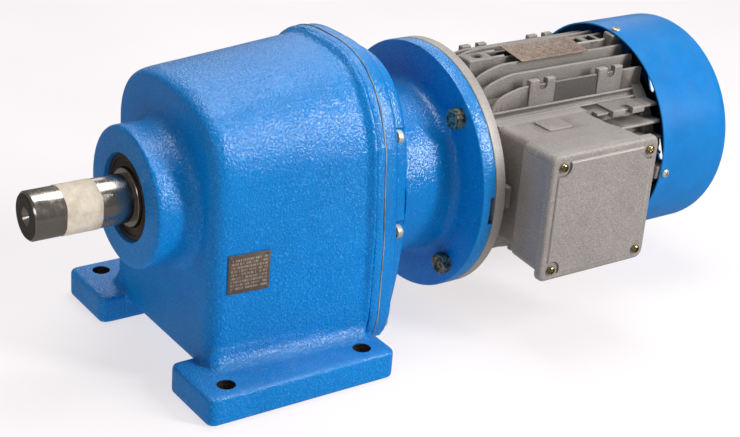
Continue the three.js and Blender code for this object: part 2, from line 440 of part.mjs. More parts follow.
function buildFrame() {
  let f = turn([[FRAME_X0, BARREL_RI], [FRAME_X0, 90], [FRAME_X0 + 8, BARREL_R + 1], [FRAME_X1, BARREL_R], [FRAME_X1, BARREL_RI]], 0, Z_IN, 40);
  const keepInner = cylX(FRAME_X0 - 1, FRAME_X1 + 1, BARREL_RI + 1.5, 0, Z_IN, 40);
  // cooling fins: plates standing on the barrel, tops on the fin circle, with sloping front ends
  const fins = [];
  const finProfile = (h, x0) => [[x0, 50], [x0, h * 0.80], [x0 + 7, h * 0.895], [x0 + 22, h * 0.96], [x0 + 40, h], [FIN_X1, h], [FIN_X1, 50]];
  for (const off of FIN_AT) {
    const h = Math.sqrt(FIN_R ** 2 - off ** 2), base = 50, t = 1.7;
    const x0 = Math.abs(off) > 50 ? 257 : 253;
    const line = (dirUp) => {
      const sh = finProfile(h, x0).map(([x, r]) => [x, Z_IN + (dirUp ? 1 : -1) * Math.max(r, base)]);
      if (!dirUp) sh.reverse();
      return prismY(dirUp ? sh.reverse() : sh.reverse(), off - t, off + t);
    };
    fins.push(line(true), line(false));
    // the same plates turned to stand out from the sides
    for (const side of [-1, 1]) {
      const sh = finProfile(h, x0).map(([x, r]) => [x, side * Math.max(r, base)]);
      fins.push(prismZ(side > 0 ? sh.reverse() : sh, Z_IN + off - t, Z_IN + off + t));
    }
  }
  let all = fins[0];
  for (const x of fins.slice(1)) all = all.add(x);
  // the fins run on over the fan-side shield and stop clear of it and of its lugs
  all = cut(all, cylX(FRAME_X1, FIN_X1 + 1, 90.4, 0, Z_IN, 40));
  for (const d of COWL_SCREWS) {
    const g = new THREE.BoxGeometry(14, 40, 14.8);
    g.translate(449.3, 98, 0);
    g.rotateX(rad(d));
    g.translate(0, 0, Z_IN);
    all = cut(all, toManifold(g));
  }
  // low rails on the diagonals
  for (const d of [45, 135, 225, 315]) {
    for (const e of [-4.2, 4.2]) {
      const g = new THREE.BoxGeometry(FRAME_X1 - 244, 24, 3);
      g.translate((FRAME_X1 + 244) / 2, RAIL_R - 12, e);
      g.rotateX(rad(d));
      g.translate(0, 0, Z_IN);
      all = all.add(toManifold(g));
    }
    const g = new THREE.BoxGeometry(FRAME_X1 - 244, 22, 26);
    g.translate((FRAME_X1 + 244) / 2, RAIL_R - 2.8 - 11, 0);
    g.rotateX(rad(d));
    g.translate(0, 0, Z_IN);
    all = all.add(toManifold(g));
  }
  // notched foot-mounting pads on the outer fins, lifting boss and side lugs
  for (const x of [301, 391]) {
    for (const s of [-1, 1]) {
      for (const v of [-1, 1]) {
        const a = s * 56;
        const z0 = Z_IN + v * 60, z1 = Z_IN + v * 93;
        let pad = box(x, x + 33, a - 3.2, a + 3.2, Math.min(z0, z1), Math.max(z0, z1));
        pad = cut(pad, cylY(a - 5, a + 5, 5.2, x + 17, Z_IN + v * 87, 12), box(x + 11.8, x + 22.2, a - 5, a + 5, Math.min(Z_IN + v * 87, Z_IN + v * 96), Math.max(Z_IN + v * 87, Z_IN + v * 96)));
        all = all.add(pad);
      }
    }
  }
  for (const v of [-1, 1]) {
    const a = v * 60, b = v * 92.5;
    let pad = box(386, 430, Math.min(a, b), Math.max(a, b), Z_IN + 53, Z_IN + 60);
    pad = cut(pad, cylZ(Z_IN + 50, Z_IN + 62, 5.2, 408, v * 86, 12), box(402.8, 413.2, Math.min(v * 86, v * 96), Math.max(v * 86, v * 96), Z_IN + 50, Z_IN + 62));
    all = all.add(pad);
  }
  all = all.add(box(261, 293, -9.7, 9.7, Z_IN + 70, Z_IN + 103.5));
  for (const v of [-1, 1]) all = all.add(box(243.5, 262, Math.min(v * 70, v * 108.5), Math.max(v * 70, v * 108.5), Z_IN - 14, Z_IN + 9));
  f = join(f, cut(all, keepInner));
  // seat for the terminal box: fins stop short of it
  f = cut(f, box(248.5, 370, -140, BOX_Y_SEAT + 0.3, Z_IN - 58.5, Z_IN + 62.5));
  f = join(f, cut(box(250, 362, BOX_Y_SEAT + GAP, -58, 90, 203), keepInner));
  f = cut(f, box(290, 322, -90, -60, 130, 156));
  f = cut(f, cylZ(Z_IN + 86, Z_IN + 106, 5.2, 277, 0, 12));
  // land for the rating plate
  f = cut(f, box(306, 404, -33, 15, Z_IN + 101, Z_IN + 112));
  return f;
}
part('motor_frame', buildFrame(), C.alu, 0.55, 0.5);
{
  const g = new THREE.BoxGeometry(88, 37, 1);
  g.rotateX(rad(7));
  g.translate(356, -12, Z_IN + 104.6);
  part('motor_nameplate', toManifold(g), C.plateM, 0.5, 0.5);
}
{
  // stator core with six coil slots, and its winding: two end turns joined through the slots
  let core = turn([[280, 46], [280, 75], [400, 75], [400, 46]], 0, Z_IN, 20);
  const slot = (grow_, x0, x1) => {
    const out = [];
    for (let i = 0; i < 6; i++) {
      const g = new THREE.BoxGeometry(x1 - x0, 11 + grow_ * 2, 13 + grow_ * 2);
      g.translate((x0 + x1) / 2, 59.5, 0);
      g.rotateX(rad(60 * i + 30));
      g.translate(0, 0, Z_IN);
      out.push(toManifold(g));
    }
    return out;
  };
  core = cut(core, ...slot(GAP, 278, 402));
  part('stator_core', core, C.lamination, 0.6, 0.8);
  let w = join(turn([[257.6, 50], [257.6, 70], [279.5, 70], [279.5, 50]], 0, Z_IN, 16), turn([[400.5, 50], [400.5, 70], [423, 70], [423, 50]], 0, Z_IN, 16));
  w = join(w, ...slot(0, 279, 401));
  part('stator_winding', w, C.copper, 0.4, 0.6);
}
{
  const s = turn([[157, 0], [157, 13.9], [218, 13.9], [218, 14.85], [257.4, 14.85], [257.4, 19], [396, 19], [396, 17.5], [437.4, 17.5], [437.4, 14.85],
    [455, 14.85], [455, 12], [503, 12], [503, 0]], 0, Z_IN, N_IN);
  part('motor_shaft', s, C.steel, 0.3, 1.0);
  part('rotor_core', turn([[285, 19.35], [285, 45], [395, 45], [395, 19.35]], 0, Z_IN, N_IN), C.lamination, 0.5, 0.8);
}
bearing('motor_fan_bearing', 438, 16, 15, 31, Z_IN);

function cowlFrame(g, deg) { g.rotateX(rad(deg)); g.translate(0, 0, Z_IN); return toManifold(g); }
{
  let s = turn([[FRAME_X1 + GAP, 62], [FRAME_X1 + GAP, 90], [FRAME_X1 + GAP + 14.5, 90], [FRAME_X1 + GAP + 14.5, 17], [451, 17], [451, 62]], 0, Z_IN, 20);
  s = cut(join(s, cylX(437.8, 452, 40, 0, Z_IN, N_IN)), cylX(437, 454.2, 31.15, 0, Z_IN, N_IN), cylX(436, 458, 17, 0, Z_IN, N_IN));
  for (const d of COWL_SCREWS) {
    const g = new THREE.BoxGeometry(13, 26.5, 14);
    g.translate(449.3, 97, 0);
    s = join(s, cowlFrame(g, d));
  }
  for (const d of COWL_SCREWS) {
    const g = new THREE.CylinderGeometry(2.7, 2.7, 20, 8);
    g.translate(453, 103, 0);
    s = cut(s, cowlFrame(g, d));
  }
  part('fan_end_shield', s, C.alu, 0.55, 0.5);
}
{
  const p = [[COWL_X0, COWL_R - COWL_T], [COWL_X0, COWL_R], [COWL_X1 - 15, COWL_R], [COWL_X1 - 8, COWL_R - 2], [COWL_X1 - 2.6, COWL_R - 7], [COWL_X1, COWL_R - 15], [COWL_X1, 0],
    [COWL_X1 - COWL_T, 0], [COWL_X1 - COWL_T, COWL_R - 15.6], [COWL_X1 - 4.2, COWL_R - 8.4], [COWL_X1 - 9, COWL_R - 3.9], [COWL_X1 - 15.2, COWL_R - COWL_T]];
  const first = p.slice(0, 7), last = p.slice(7);
  // profile starts and ends on the axis
  const prof = [last[0], last[1], last[2], last[4], first[0], first[1], first[2], first[4], first[5], first[6]];
  let c = turn(prof, 0, Z_IN, 36);
  // intake grille: two rings of radial slots
  const slots = [];
  for (const [r0, r1, n, w] of [[24, 52, 8, 6], [58, 76, 16, 6]]) {
    for (let i = 0; i < n; i++) {
      const g = new THREE.BoxGeometry(8, r1 - r0, w);
      g.translate(COWL_X1, (r0 + r1) / 2, 0);
      g.rotateX(2 * Math.PI * (i + 0.5) / n);
      g.translate(0, 0, Z_IN);
      slots.push(toManifold(g));
    }
  }
  c = cut(c, ...slots);
  for (const d of COWL_SCREWS) {
    const g = new THREE.CylinderGeometry(2.9, 2.9, 12, 8);
    g.translate(453, COWL_R, 0);
    c = cut(c, cowlFrame(g, d));
  }
  part('fan_cowl', c, C.paint, 0.35, 0.0);
}
COWL_SCREWS.forEach((d, i) => {
  const a = new THREE.CylinderGeometry(2.3, 2.3, 16.5, 6);
  a.translate(453, COWL_R - 7.9, 0);
  const b = new THREE.CylinderGeometry(3, 4.6, 2.6, 10);
  b.translate(453, COWL_R + 1.6, 0);
  part(`cowl_screw_${i + 1}`, cowlFrame(a, d).add(cowlFrame(b, d)), C.zinc, 0.35, 0.9);
});
{
  let f = join(turn([[468, 12.4], [468, 24], [500, 24], [500, 12.4]], 0, Z_IN, N_IN), turn([[480, 20], [480, 70], [483.5, 70], [483.5, 20]], 0, Z_IN, N_IN));
  for (let i = 0; i < 7; i++) {
    const g = new THREE.BoxGeometry(28, 72, 3);
    g.translate(484, 59, 0);
    g.rotateX(2 * Math.PI * i / 7);
    g.translate(0, 0, Z_IN);
    f = join(f, toManifold(g));
  }
  f = cut(f, cylX(460, 505, 12.4, 0, Z_IN, N_IN));
  part('cooling_fan', f, C.plastic, 0.5, 0.0);
}

// ---------------------------------------------------------------- terminal box
const BOX_SCREWS = [[251, 200.4], [251, 89.6], [361.2, 200.4], [361.2, 89.6]].map(([x, z]) => [Math.min(Math.max(x, BOXC_X0 + 12.5), BOXC_X1 - 12.5), Math.min(Math.max(z, BOXC_Z0 + 12.5), BOXC_Z1 - 12.5)]);
// outlines in X and Z, stacked along Y; the swap keeps one loft routine for both directions
function loftY(sections) {
  const n = sections.length, first = sections[0][1];
  const shape = new THREE.Shape(first.map(([x, z]) => new THREE.Vector2(x, z)));
  const g = new THREE.ExtrudeGeometry(shape, { depth: n - 1, bevelEnabled: false, steps: n - 1 });
  const pos = g.attributes.position;
  for (let i = 0; i < pos.count; i++) {
    const k = Math.round(pos.getZ(i));
    let best = 0, bd = Infinity;
    for (let j = 0; j < first.length; j++) {
      const d = (first[j][0] - pos.getX(i)) ** 2 + (first[j][1] - pos.getY(i)) ** 2;
      if (d < bd) { bd = d; best = j; }
    }
    const [y, outline] = sections[k];
    pos.setXYZ(i, outline[best][0], y, outline[best][1]);
  }
  return toManifold(g);
}
{
  let b = loftY([
    [BOX_Y_SEAT, roundRect(250.5, 361.5, 90.5, 203.2, 7)],
    [BOX_Y_STEP, roundRect(250, 362, 89.5, 204, 7)],
    [BOX_Y_STEP - 1, roundRect(245.4, 364.8, 84.6, 204.2, 8)],
    [BOX_Y_FACE, roundRect(243.4, 366.8, 82.6, 206, 9)],
  ]);
  b = cut(b, loftY([[BOX_Y_SEAT - 4, roundRect(255, 357, 95, 199, 5)], [BOX_Y_STEP - 3, roundRect(254.6, 357.4, 94, 199.6, 5)], [BOX_Y_FACE - 1, roundRect(247.6, 362.6, 86.8, 201.8, 6)]]));
  for (const [x, z] of BOX_SCREWS) b = join(b, cut(cylY(BOX_Y_FACE, -140, 6.5, x, z, 8)));
  for (const [x, z] of BOX_SCREWS) b = cut(b, cylY(BOX_Y_FACE - 2, -148, 2.7, x, z, 8));
  b = cut(b, box(290, 322, -90, -78, 130, 156));
  b = join(b, prismZ([[287, -110], [318, -110], [318, -84], [287, -84]], 202, 205.4));
  // cable entry in the underside
  b = cut(b, cylZ(78, 98, 13.2, 305, -143, 12));
  part('terminal_box', b, C.alu, 0.6, 0.5);
}
{
  let c = loftY([
    [COVER_Y0, roundRect(BOXC_X0, BOXC_X1, BOXC_Z0, BOXC_Z1, 9, 2)],
    [COVER_Y0 - 5.5, roundRect(BOXC_X0, BOXC_X1, BOXC_Z0, BOXC_Z1, 9, 2)],
    [COVER_Y0 - 8.2, roundRect(BOXC_X0 + 2.2, BOXC_X1 - 2.2, BOXC_Z0 + 2.2, BOXC_Z1 - 2.2, 8, 2)],
    [COVER_Y1 + 1.2, roundRect(BOXC_X0 + 5, BOXC_X1 - 5, BOXC_Z0 + 5, BOXC_Z1 - 5, 7, 2)],
  ]);
  // raised panel with scooped corners round the screws
  let panel = prismY(roundRect(BOXC_X0 + 8, BOXC_X1 - 8, BOXC_Z0 + 8, BOXC_Z1 - 8, 2, 1), COVER_Y1, COVER_Y0 - 6);
  for (const [x, z] of BOX_SCREWS) panel = cut(panel, cylY(COVER_Y1 - 2, COVER_Y0, 9.5, x, z, 12));
  c = join(c, panel);
  c = cut(c, prismY(roundRect(249, 361, 88.5, 200.5, 10, 1), COVER_Y0 - 6, COVER_Y0 + 1));
  for (const [x, z] of BOX_SCREWS) c = join(c, cylY(COVER_Y0 - 8, COVER_Y0, 7, x, z, 8));
  for (const [x, z] of BOX_SCREWS) c = cut(c, cylY(COVER_Y1 - 2, COVER_Y0 + 2, 3, x, z, 8));
  part('terminal_box_cover', c, C.alu, 0.6, 0.4);
}
BOX_SCREWS.forEach(([x, z], i) => {
  const s = join(cylY(COVER_Y1 + 0.4, -150, 2.4, x, z, 6), cylY(-178.2, COVER_Y1 + 1 - 0.1, 3.6, x, z, 10, 5));
  part(`box_screw_${i + 1}`, s, C.brass, 0.35, 0.9);
});
{
  let t = box(275, 337, -97, -84.6, 108, 128);
  t = join(t, box(275, 337, -97, -84.6, 158, 178));
  t = join(t, box(275, 289, -97, -84.6, 127, 159), box(323, 337, -97, -84.6, 127, 159));
  for (const x of [285, 306, 327]) for (const z of [118, 168]) t = join(t, cylY(-108, -96.5, 3, x, z, 6));
  part('terminal_board', t, C.board, 0.6, 0.0);
}
part('cable_entry_plug', join(cylZ(78.2, 82.5 - 0.1, 16, 305, -143, 6), cylZ(82.2, 94, 12.8, 305, -143, 12)), C.plastic, 0.5, 0.0);

export default root;
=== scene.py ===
import math
import bpy
import bmesh
import numpy as np
from mathutils import Matrix, Vector, noise


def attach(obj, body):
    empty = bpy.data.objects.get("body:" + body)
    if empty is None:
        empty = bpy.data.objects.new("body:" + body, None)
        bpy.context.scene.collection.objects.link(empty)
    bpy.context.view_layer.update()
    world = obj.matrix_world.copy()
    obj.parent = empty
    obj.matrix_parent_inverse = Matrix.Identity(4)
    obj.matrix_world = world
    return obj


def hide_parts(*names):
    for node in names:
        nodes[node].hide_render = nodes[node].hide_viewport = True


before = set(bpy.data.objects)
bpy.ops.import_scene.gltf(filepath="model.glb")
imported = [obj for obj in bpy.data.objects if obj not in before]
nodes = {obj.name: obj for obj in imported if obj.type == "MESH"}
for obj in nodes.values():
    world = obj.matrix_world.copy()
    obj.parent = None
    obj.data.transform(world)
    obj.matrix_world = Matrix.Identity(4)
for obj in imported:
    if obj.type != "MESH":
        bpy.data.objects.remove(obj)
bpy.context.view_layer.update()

S = 0.001                      # everything below is written in millimetres
scene = bpy.context.scene
rad = math.radians

# ------------------------------------------------------------------ dimensions shared with the frame
Z_OUT, Z_LAY, Z_IN = 165.0, 85.0, 143.0
CASE_X0, CASE_X1, LIP_X1 = -72.0, 88.0, 100.4
COVER_X0, COVER_X1 = 101.6, 118.0
FL_X0, FL_X1, FL_R = 201.5, 216.4, 125.0
MF_X0, MF_X1 = 216.7, 228.4
FR_X0, FR_X1 = 241.0, 440.0
COWL_X0, COWL_X1, COWL_R = 446.5, 545.0, 112.9
HUMP_X1 = 136.0
TIP = -205.4


# ------------------------------------------------------------------ mesh helpers
def link(o):
    scene.collection.objects.link(o)
    return o


def make(name, verts, faces):
    me = bpy.data.meshes.new(name)
    me.from_pydata([(v[0] * S, v[1] * S, v[2] * S) for v in verts], [], faces)
    bm = bmesh.new()
    bm.from_mesh(me)
    bmesh.ops.remove_doubles(bm, verts=bm.verts, dist=1e-7)
    bmesh.ops.dissolve_degenerate(bm, edges=bm.edges, dist=1e-8)
    bmesh.ops.recalc_face_normals(bm, faces=bm.faces)
    bm.to_mesh(me)
    bm.free()
    return link(bpy.data.objects.new(name, me))


def skin(sections, name="loft", caps=True, closed=False):
    """Quads through a list of sections, each a list of points with one count."""
    n = len(sections[0])
    verts = [p for s in sections for p in s]
    faces = []
    m = len(sections)
    for k in range(m if closed else m - 1):
        a, b = k * n, ((k + 1) % m) * n
        for i in range(n):
            j = (i + 1) % n
            faces.append((a + i, a + j, b + j, b + i))
    if caps and not closed:
        faces.append(tuple(range(n))[::-1])
        faces.append(tuple((m - 1) * n + i for i in range(n)))
    return make(name, verts, faces)


def lathe(profile, cy, cz, n=128, name="lathe", start=0.0):
    """Turns (x, r) points about the line y=cy, z=cz. The profile ends on the axis or closes on itself."""
    on_axis = profile[0][1] < 1e-6 and profile[-1][1] < 1e-6
    verts, rings = [], []
    for x, r in profile:
        if r < 1e-6:
            rings.append([len(verts)] * n)
            verts.append((x, cy, cz))
        else:
            rings.append(list(range(len(verts), len(verts) + n)))
            for i in range(n):
                t = start + 2 * math.pi * i / n
                verts.append((x, cy + r * math.cos(t), cz + r * math.sin(t)))
    faces = []
    m = len(profile)
    for k in range(m - 1 if on_axis else m):
        a, b = rings[k], rings[(k + 1) % m]
        for i in range(n):
            j = (i + 1) % n
            f = []
            for v in (a[i], a[j], b[j], b[i]):
                if v not in f:
                    f.append(v)
            if len(f) > 2:
                faces.append(tuple(f))
    return make(name, verts, faces)


def cyl(axis, a0, a1, r, p, q, n=48, r2=None):
    """Cylinder along axis; p and q are the other two coordinates in order."""
    r2 = r if r2 is None else r2
    secs = []
    for a, rr in ((a0, r), (a1, r2)):
        ring = []
        for i in range(n):
            t = 2 * math.pi * (i + 0.5) / n
            u, v = p + rr * math.cos(t), q + rr * math.sin(t)
            ring.append({"x": (a, u, v), "y": (u, a, v), "z": (u, v, a)}[axis])
        secs.append(ring)
    return skin(secs, "cyl")


def block(x0, x1, y0, y1, z0, z1, r=0.0, segs=3):
    o = skin([[(x0, y0, z0), (x1, y0, z0), (x1, y1, z0), (x0, y1, z0)], [(x0, y0, z1), (x1, y0, z1), (x1, y1, z1), (x0, y1, z1)]], "block")
    if r:
        bevel(o, r, segs)
    return o


def apply(o):
    dg = bpy.context.evaluated_depsgraph_get()
    me = bpy.data.meshes.new_from_object(o.evaluated_get(dg))
    o.modifiers.clear()
    old = o.data
    o.data = me
    bpy.data.meshes.remove(old)
    return o


def bevel(o, width, segs=3, angle=30):
    m = o.modifiers.new("bevel", "BEVEL")
    m.width = width * S
    m.segments = segs
    m.limit_method = "ANGLE"
    m.angle_limit = rad(angle)
    m.use_clamp_overlap = True
    m.miter_outer = "MITER_ARC"
    return apply(o)


def merge(objs, name="merged"):
    """One object holding all the meshes; the originals go."""
    verts, faces, base = [], [], 0
    for o in objs:
        me = o.data
        mw = o.matrix_world
        verts += [tuple(mw @ v.co) for v in me.vertices]
        faces += [tuple(base + i for i in p.vertices) for p in me.polygons]
        base += len(me.vertices)
    me = bpy.data.meshes.new(name)
    me.from_pydata(verts, [], faces)
    me.update()
    for o in objs:
        drop(o)
    return link(bpy.data.objects.new(name, me))


def drop(o):
    me = o.data
    bpy.data.objects.remove(o)
    bpy.data.meshes.remove(me)


def boolean(o, tools, op="DIFFERENCE", self_cut=False):
    tool = tools[0] if len(tools) == 1 else merge(tools)
    m = o.modifiers.new("b", "BOOLEAN")
    m.operation = op
    m.solver = "EXACT"
    m.object = tool
    m.use_self = self_cut
    m.use_hole_tolerant = False
    apply(o)
    drop(tool)
    return o


def clean(o, dist=2e-6):
    bm = bmesh.new()
    bm.from_mesh(o.data)
    bmesh.ops.remove_doubles(bm, verts=bm.verts, dist=dist)
    bmesh.ops.dissolve_degenerate(bm, edges=bm.edges, dist=dist)
    loose = [v for v in bm.verts if not v.link_faces]
    bmesh.ops.delete(bm, geom=loose, context="VERTS")
    bm.to_mesh(o.data)
    bm.free()
    return o


def voxel(o, size, smooth=6, factor=0.5):
    m = o.modifiers.new("r", "REMESH")
    m.mode = "VOXEL"
    m.voxel_size = size * S
    m.adaptivity = 0.0
    if smooth:
        s = o.modifiers.new("s", "SMOOTH")
        s.factor = factor
        s.iterations = smooth
    return apply(o)


def finish(o, name, material, body, replaces=(), sharp=35, smooth=True):
    o.name = name
    o.data.name = name
    if smooth:
        o.data.polygons.foreach_set("use_smooth", [True] * len(o.data.polygons))
        if sharp:
            o.data.set_sharp_from_angle(angle=rad(sharp))
    o.data.materials.clear()
    o.data.materials.append(material)
    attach(o, body)
    if replaces:
        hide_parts(*replaces)
    return o


def turned(o, deg, cy, cz):
    """Turns a piece about the X-parallel line through cy, cz."""
    m = Matrix.Translation((0, cy * S, cz * S)) @ Matrix.Rotation(rad(deg), 4, "X") @ Matrix.Translation((0, -cy * S, -cz * S))
    o.data.transform(m)
    return o


def moved(o, dx=0, dy=0, dz=0):
    o.data.transform(Matrix.Translation((dx * S, dy * S, dz * S)))
    return o


# ------------------------------------------------------------------ outlines
def arch(W, rc, R, zt, lower, n_top=22, n_side=22):
    zc = zt - R
    zs = zc + math.sqrt((R - rc) ** 2 - (W - rc) ** 2)
    a = math.atan2(W - rc, zs - zc)
    half = []
    for i in range(1, n_top + 1):
        t = a * i / n_top
        half.append((R * math.sin(t), zc + R * math.cos(t)))
    for i in range(1, n_side + 1):
        t = a + (math.pi / 2 - a) * i / n_side
        half.append((W - rc + rc * math.sin(t), zs + rc * math.cos(t)))
    half += lower
    return [(0, zt)] + [(-y, z) for y, z in half] + half[::-1]


def splay(W, H, template, low):
    """Pushes an arch out to superelliptic shoulders over sides that splay towards the feet."""
    out = []
    for y, z in template:
        if z <= 117:
            out.append((math.copysign(low(z), y), z))
        else:
            n = 2.7 if y < 0 else 3.2
            q = ((abs(y) / W) ** n + ((z - 110) / H) ** n) ** (-1 / n)
            out.append((y * q, 110 + (z - 110) * q))
    return out


LOWS = (118, 100, 80, 60, 40, 30, 18)


def body_outline(x, inset=0.0, low=0.0):
    """Outline of the case body at x; it widens towards the rear and takes on the splay of the lip."""
    k = (x - (CASE_X0 + 15)) / (CASE_X1 + 2 - CASE_X0 - 15)
    edge = lambda i: arch(93.4 - i, 62 - 0.6 * i, 192 - i, 272.8 - 0.65 * i, [(93.4 - i, z if z > 18 else 18 + low) for z in LOWS])
    # the cast radius is tighter over the crown and the far shoulder than down the near side
    front = []
    for (a, b), (c, d) in zip(edge(inset), edge(0.45 * inset)):
        w = min(1.0, max(0.0, (20 - a) / 90))
        front.append((a * w + c * (1 - w), b * w + d * (1 - w)))
    rear = splay(103.0, 175.5, arch(99.5, 66, 209, 281.6, [(99.5, z) for z in LOWS]), lambda z: 103 + (110 - z) * 0.035)
    k = max(-0.08, k)
    return [(a * (1 - k) + c * k, b * (1 - k) + d * k) for (a, b), (c, d) in zip(front, rear)]


LIP_LOWS = (118, 100, 80, 65, 50, 44, 38, 33, 28, 23, 18)


def lip_outline(i=0.0):
    def low(z):
        return 108 - 9.5 * max(0.0, (50 - z) / 32) ** 1.8 - i
    return [(y, max(z, 18 + i)) for y, z in splay(108 - i, 180.3 - i, arch(104.5, 71, 219, 287.5, [(104.5, z) for z in LIP_LOWS]), low)]


def hump_outline(i=0.0):
    """The raised body of the rear cover, which draws in towards its foot."""
    return [(math.copysign(min(abs(y), 108 - i - 13 * max(0.0, (125 - z) / 91) ** 1.6), y), z) for y, z in lip_outline(i)]


def yz(x, outline):
    return [(x, y, z) for y, z in outline]


def round_rect(a0, a1, b0, b1, r, n=8):
    out = []
    for ca, cb, s in ((a1 - r, b0 + r, -90), (a1 - r, b1 - r, 0), (a0 + r, b1 - r, 90), (a0 + r, b0 + r, 180)):
        for i in range(n + 1):
            t = rad(s + 90 * i / n)
            out.append((ca + r * math.cos(t), cb + r * math.sin(t)))
    return out


def arc(cx, cr, r, a0, a1, n):
    """Profile points round (cx, cr) from angle a0 to a1 in degrees, x along cos and radius along sin."""
    return [(cx + r * math.cos(rad(a0 + (a1 - a0) * i / n)), cr + r * math.sin(rad(a0 + (a1 - a0) * i / n))) for i in range(n + 1)]


# ------------------------------------------------------------------ materials
def tree(name):
    m = bpy.data.materials.new(name)
    m.use_nodes = True
    nt = m.node_tree
    nt.nodes.clear()
    out = nt.nodes.new("ShaderNodeOutputMaterial")
    bs = nt.nodes.new("ShaderNodeBsdfPrincipled")
    nt.links.new(bs.outputs[0], out.inputs[0])
    return m, nt, bs


class G:
    """Small helper for writing node trees."""

    def __init__(self, nt):
        self.nt = nt
        self.tc = nt.nodes.new("ShaderNodeTexCoord").outputs["Object"]

    def put(self, sock, v):
        if hasattr(v, "is_output") or isinstance(v, bpy.types.NodeSocket):
            self.nt.links.new(v, sock)
        else:
            sock.default_value = v

    def map(self, scale=(1, 1, 1), rot=(0, 0, 0), loc=(0, 0, 0), vec=None):
        n = self.nt.nodes.new("ShaderNodeMapping")
        self.put(n.inputs["Vector"], vec or self.tc)
        n.inputs["Scale"].default_value = scale
        n.inputs["Rotation"].default_value = rot
        n.inputs["Location"].default_value = loc
        return n.outputs[0]

    def noise(self, scale, detail=2.0, rough=0.5, vec=None, distort=0.0, kind="FBM"):
        n = self.nt.nodes.new("ShaderNodeTexNoise")
        self.put(n.inputs["Vector"], vec or self.tc)
        n.inputs["Scale"].default_value = scale
        n.inputs["Detail"].default_value = detail
        n.inputs["Roughness"].default_value = rough
        n.inputs["Distortion"].default_value = distort
        return n.outputs[0]

    def voronoi(self, scale, vec=None, feature="F1", rand=1.0, out="Distance"):
        n = self.nt.nodes.new("ShaderNodeTexVoronoi")
        n.feature = feature
        self.put(n.inputs["Vector"], vec or self.tc)
        n.inputs["Scale"].default_value = scale
        n.inputs["Randomness"].default_value = rand
        return n.outputs[out]

    def ramp(self, fac, a, b, lo=0.0, hi=1.0):
        n = self.nt.nodes.new("ShaderNodeMapRange")
        n.clamp = True
        self.put(n.inputs["Value"], fac)
        n.inputs["From Min"].default_value = a
        n.inputs["From Max"].default_value = b
        n.inputs["To Min"].default_value = lo
        n.inputs["To Max"].default_value = hi
        return n.outputs[0]

    def mix(self, fac, a, b, mode="MIX"):
        n = self.nt.nodes.new("ShaderNodeMix")
        n.data_type = "RGBA"
        n.blend_type = mode
        self.put(n.inputs[0], fac)
        self.put(n.inputs[6], a if not isinstance(a, tuple) else (*a, 1.0) if len(a) == 3 else a)
        self.put(n.inputs[7], b if not isinstance(b, tuple) else (*b, 1.0) if len(b) == 3 else b)
        return n.outputs[2]

    def math(self, op, a, b=0.0, c=None):
        n = self.nt.nodes.new("ShaderNodeMath")
        n.operation = op
        self.put(n.inputs[0], a)
        self.put(n.inputs[1], b)
        if c is not None:
            self.put(n.inputs[2], c)
        return n.outputs[0]

    def bump(self, height, dist, strength=1.0, normal=None):
        n = self.nt.nodes.new("ShaderNodeBump")
        self.put(n.inputs["Height"], height)
        n.inputs["Distance"].default_value = dist
        n.inputs["Strength"].default_value = strength
        if normal is not None:
            self.put(n.inputs["Normal"], normal)
        return n.outputs[0]

    def point(self):
        return self.nt.nodes.new("ShaderNodeNewGeometry").outputs["Pointiness"]

    def normal_z(self):
        g = self.nt.nodes.new("ShaderNodeNewGeometry")
        s = self.nt.nodes.new("ShaderNodeSeparateXYZ")
        self.nt.links.new(g.outputs["Normal"], s.inputs[0])
        return s.outputs[2]

    def xyz(self):
        s = self.nt.nodes.new("ShaderNodeSeparateXYZ")
        self.nt.links.new(self.tc, s.inputs[0])
        return s.outputs


def srgb(r, g, b):
    f = lambda c: (c / 255) / 12.92 if c / 255 <= 0.04045 else ((c / 255 + 0.055) / 1.055) ** 2.4
    return (f(r), f(g), f(b))


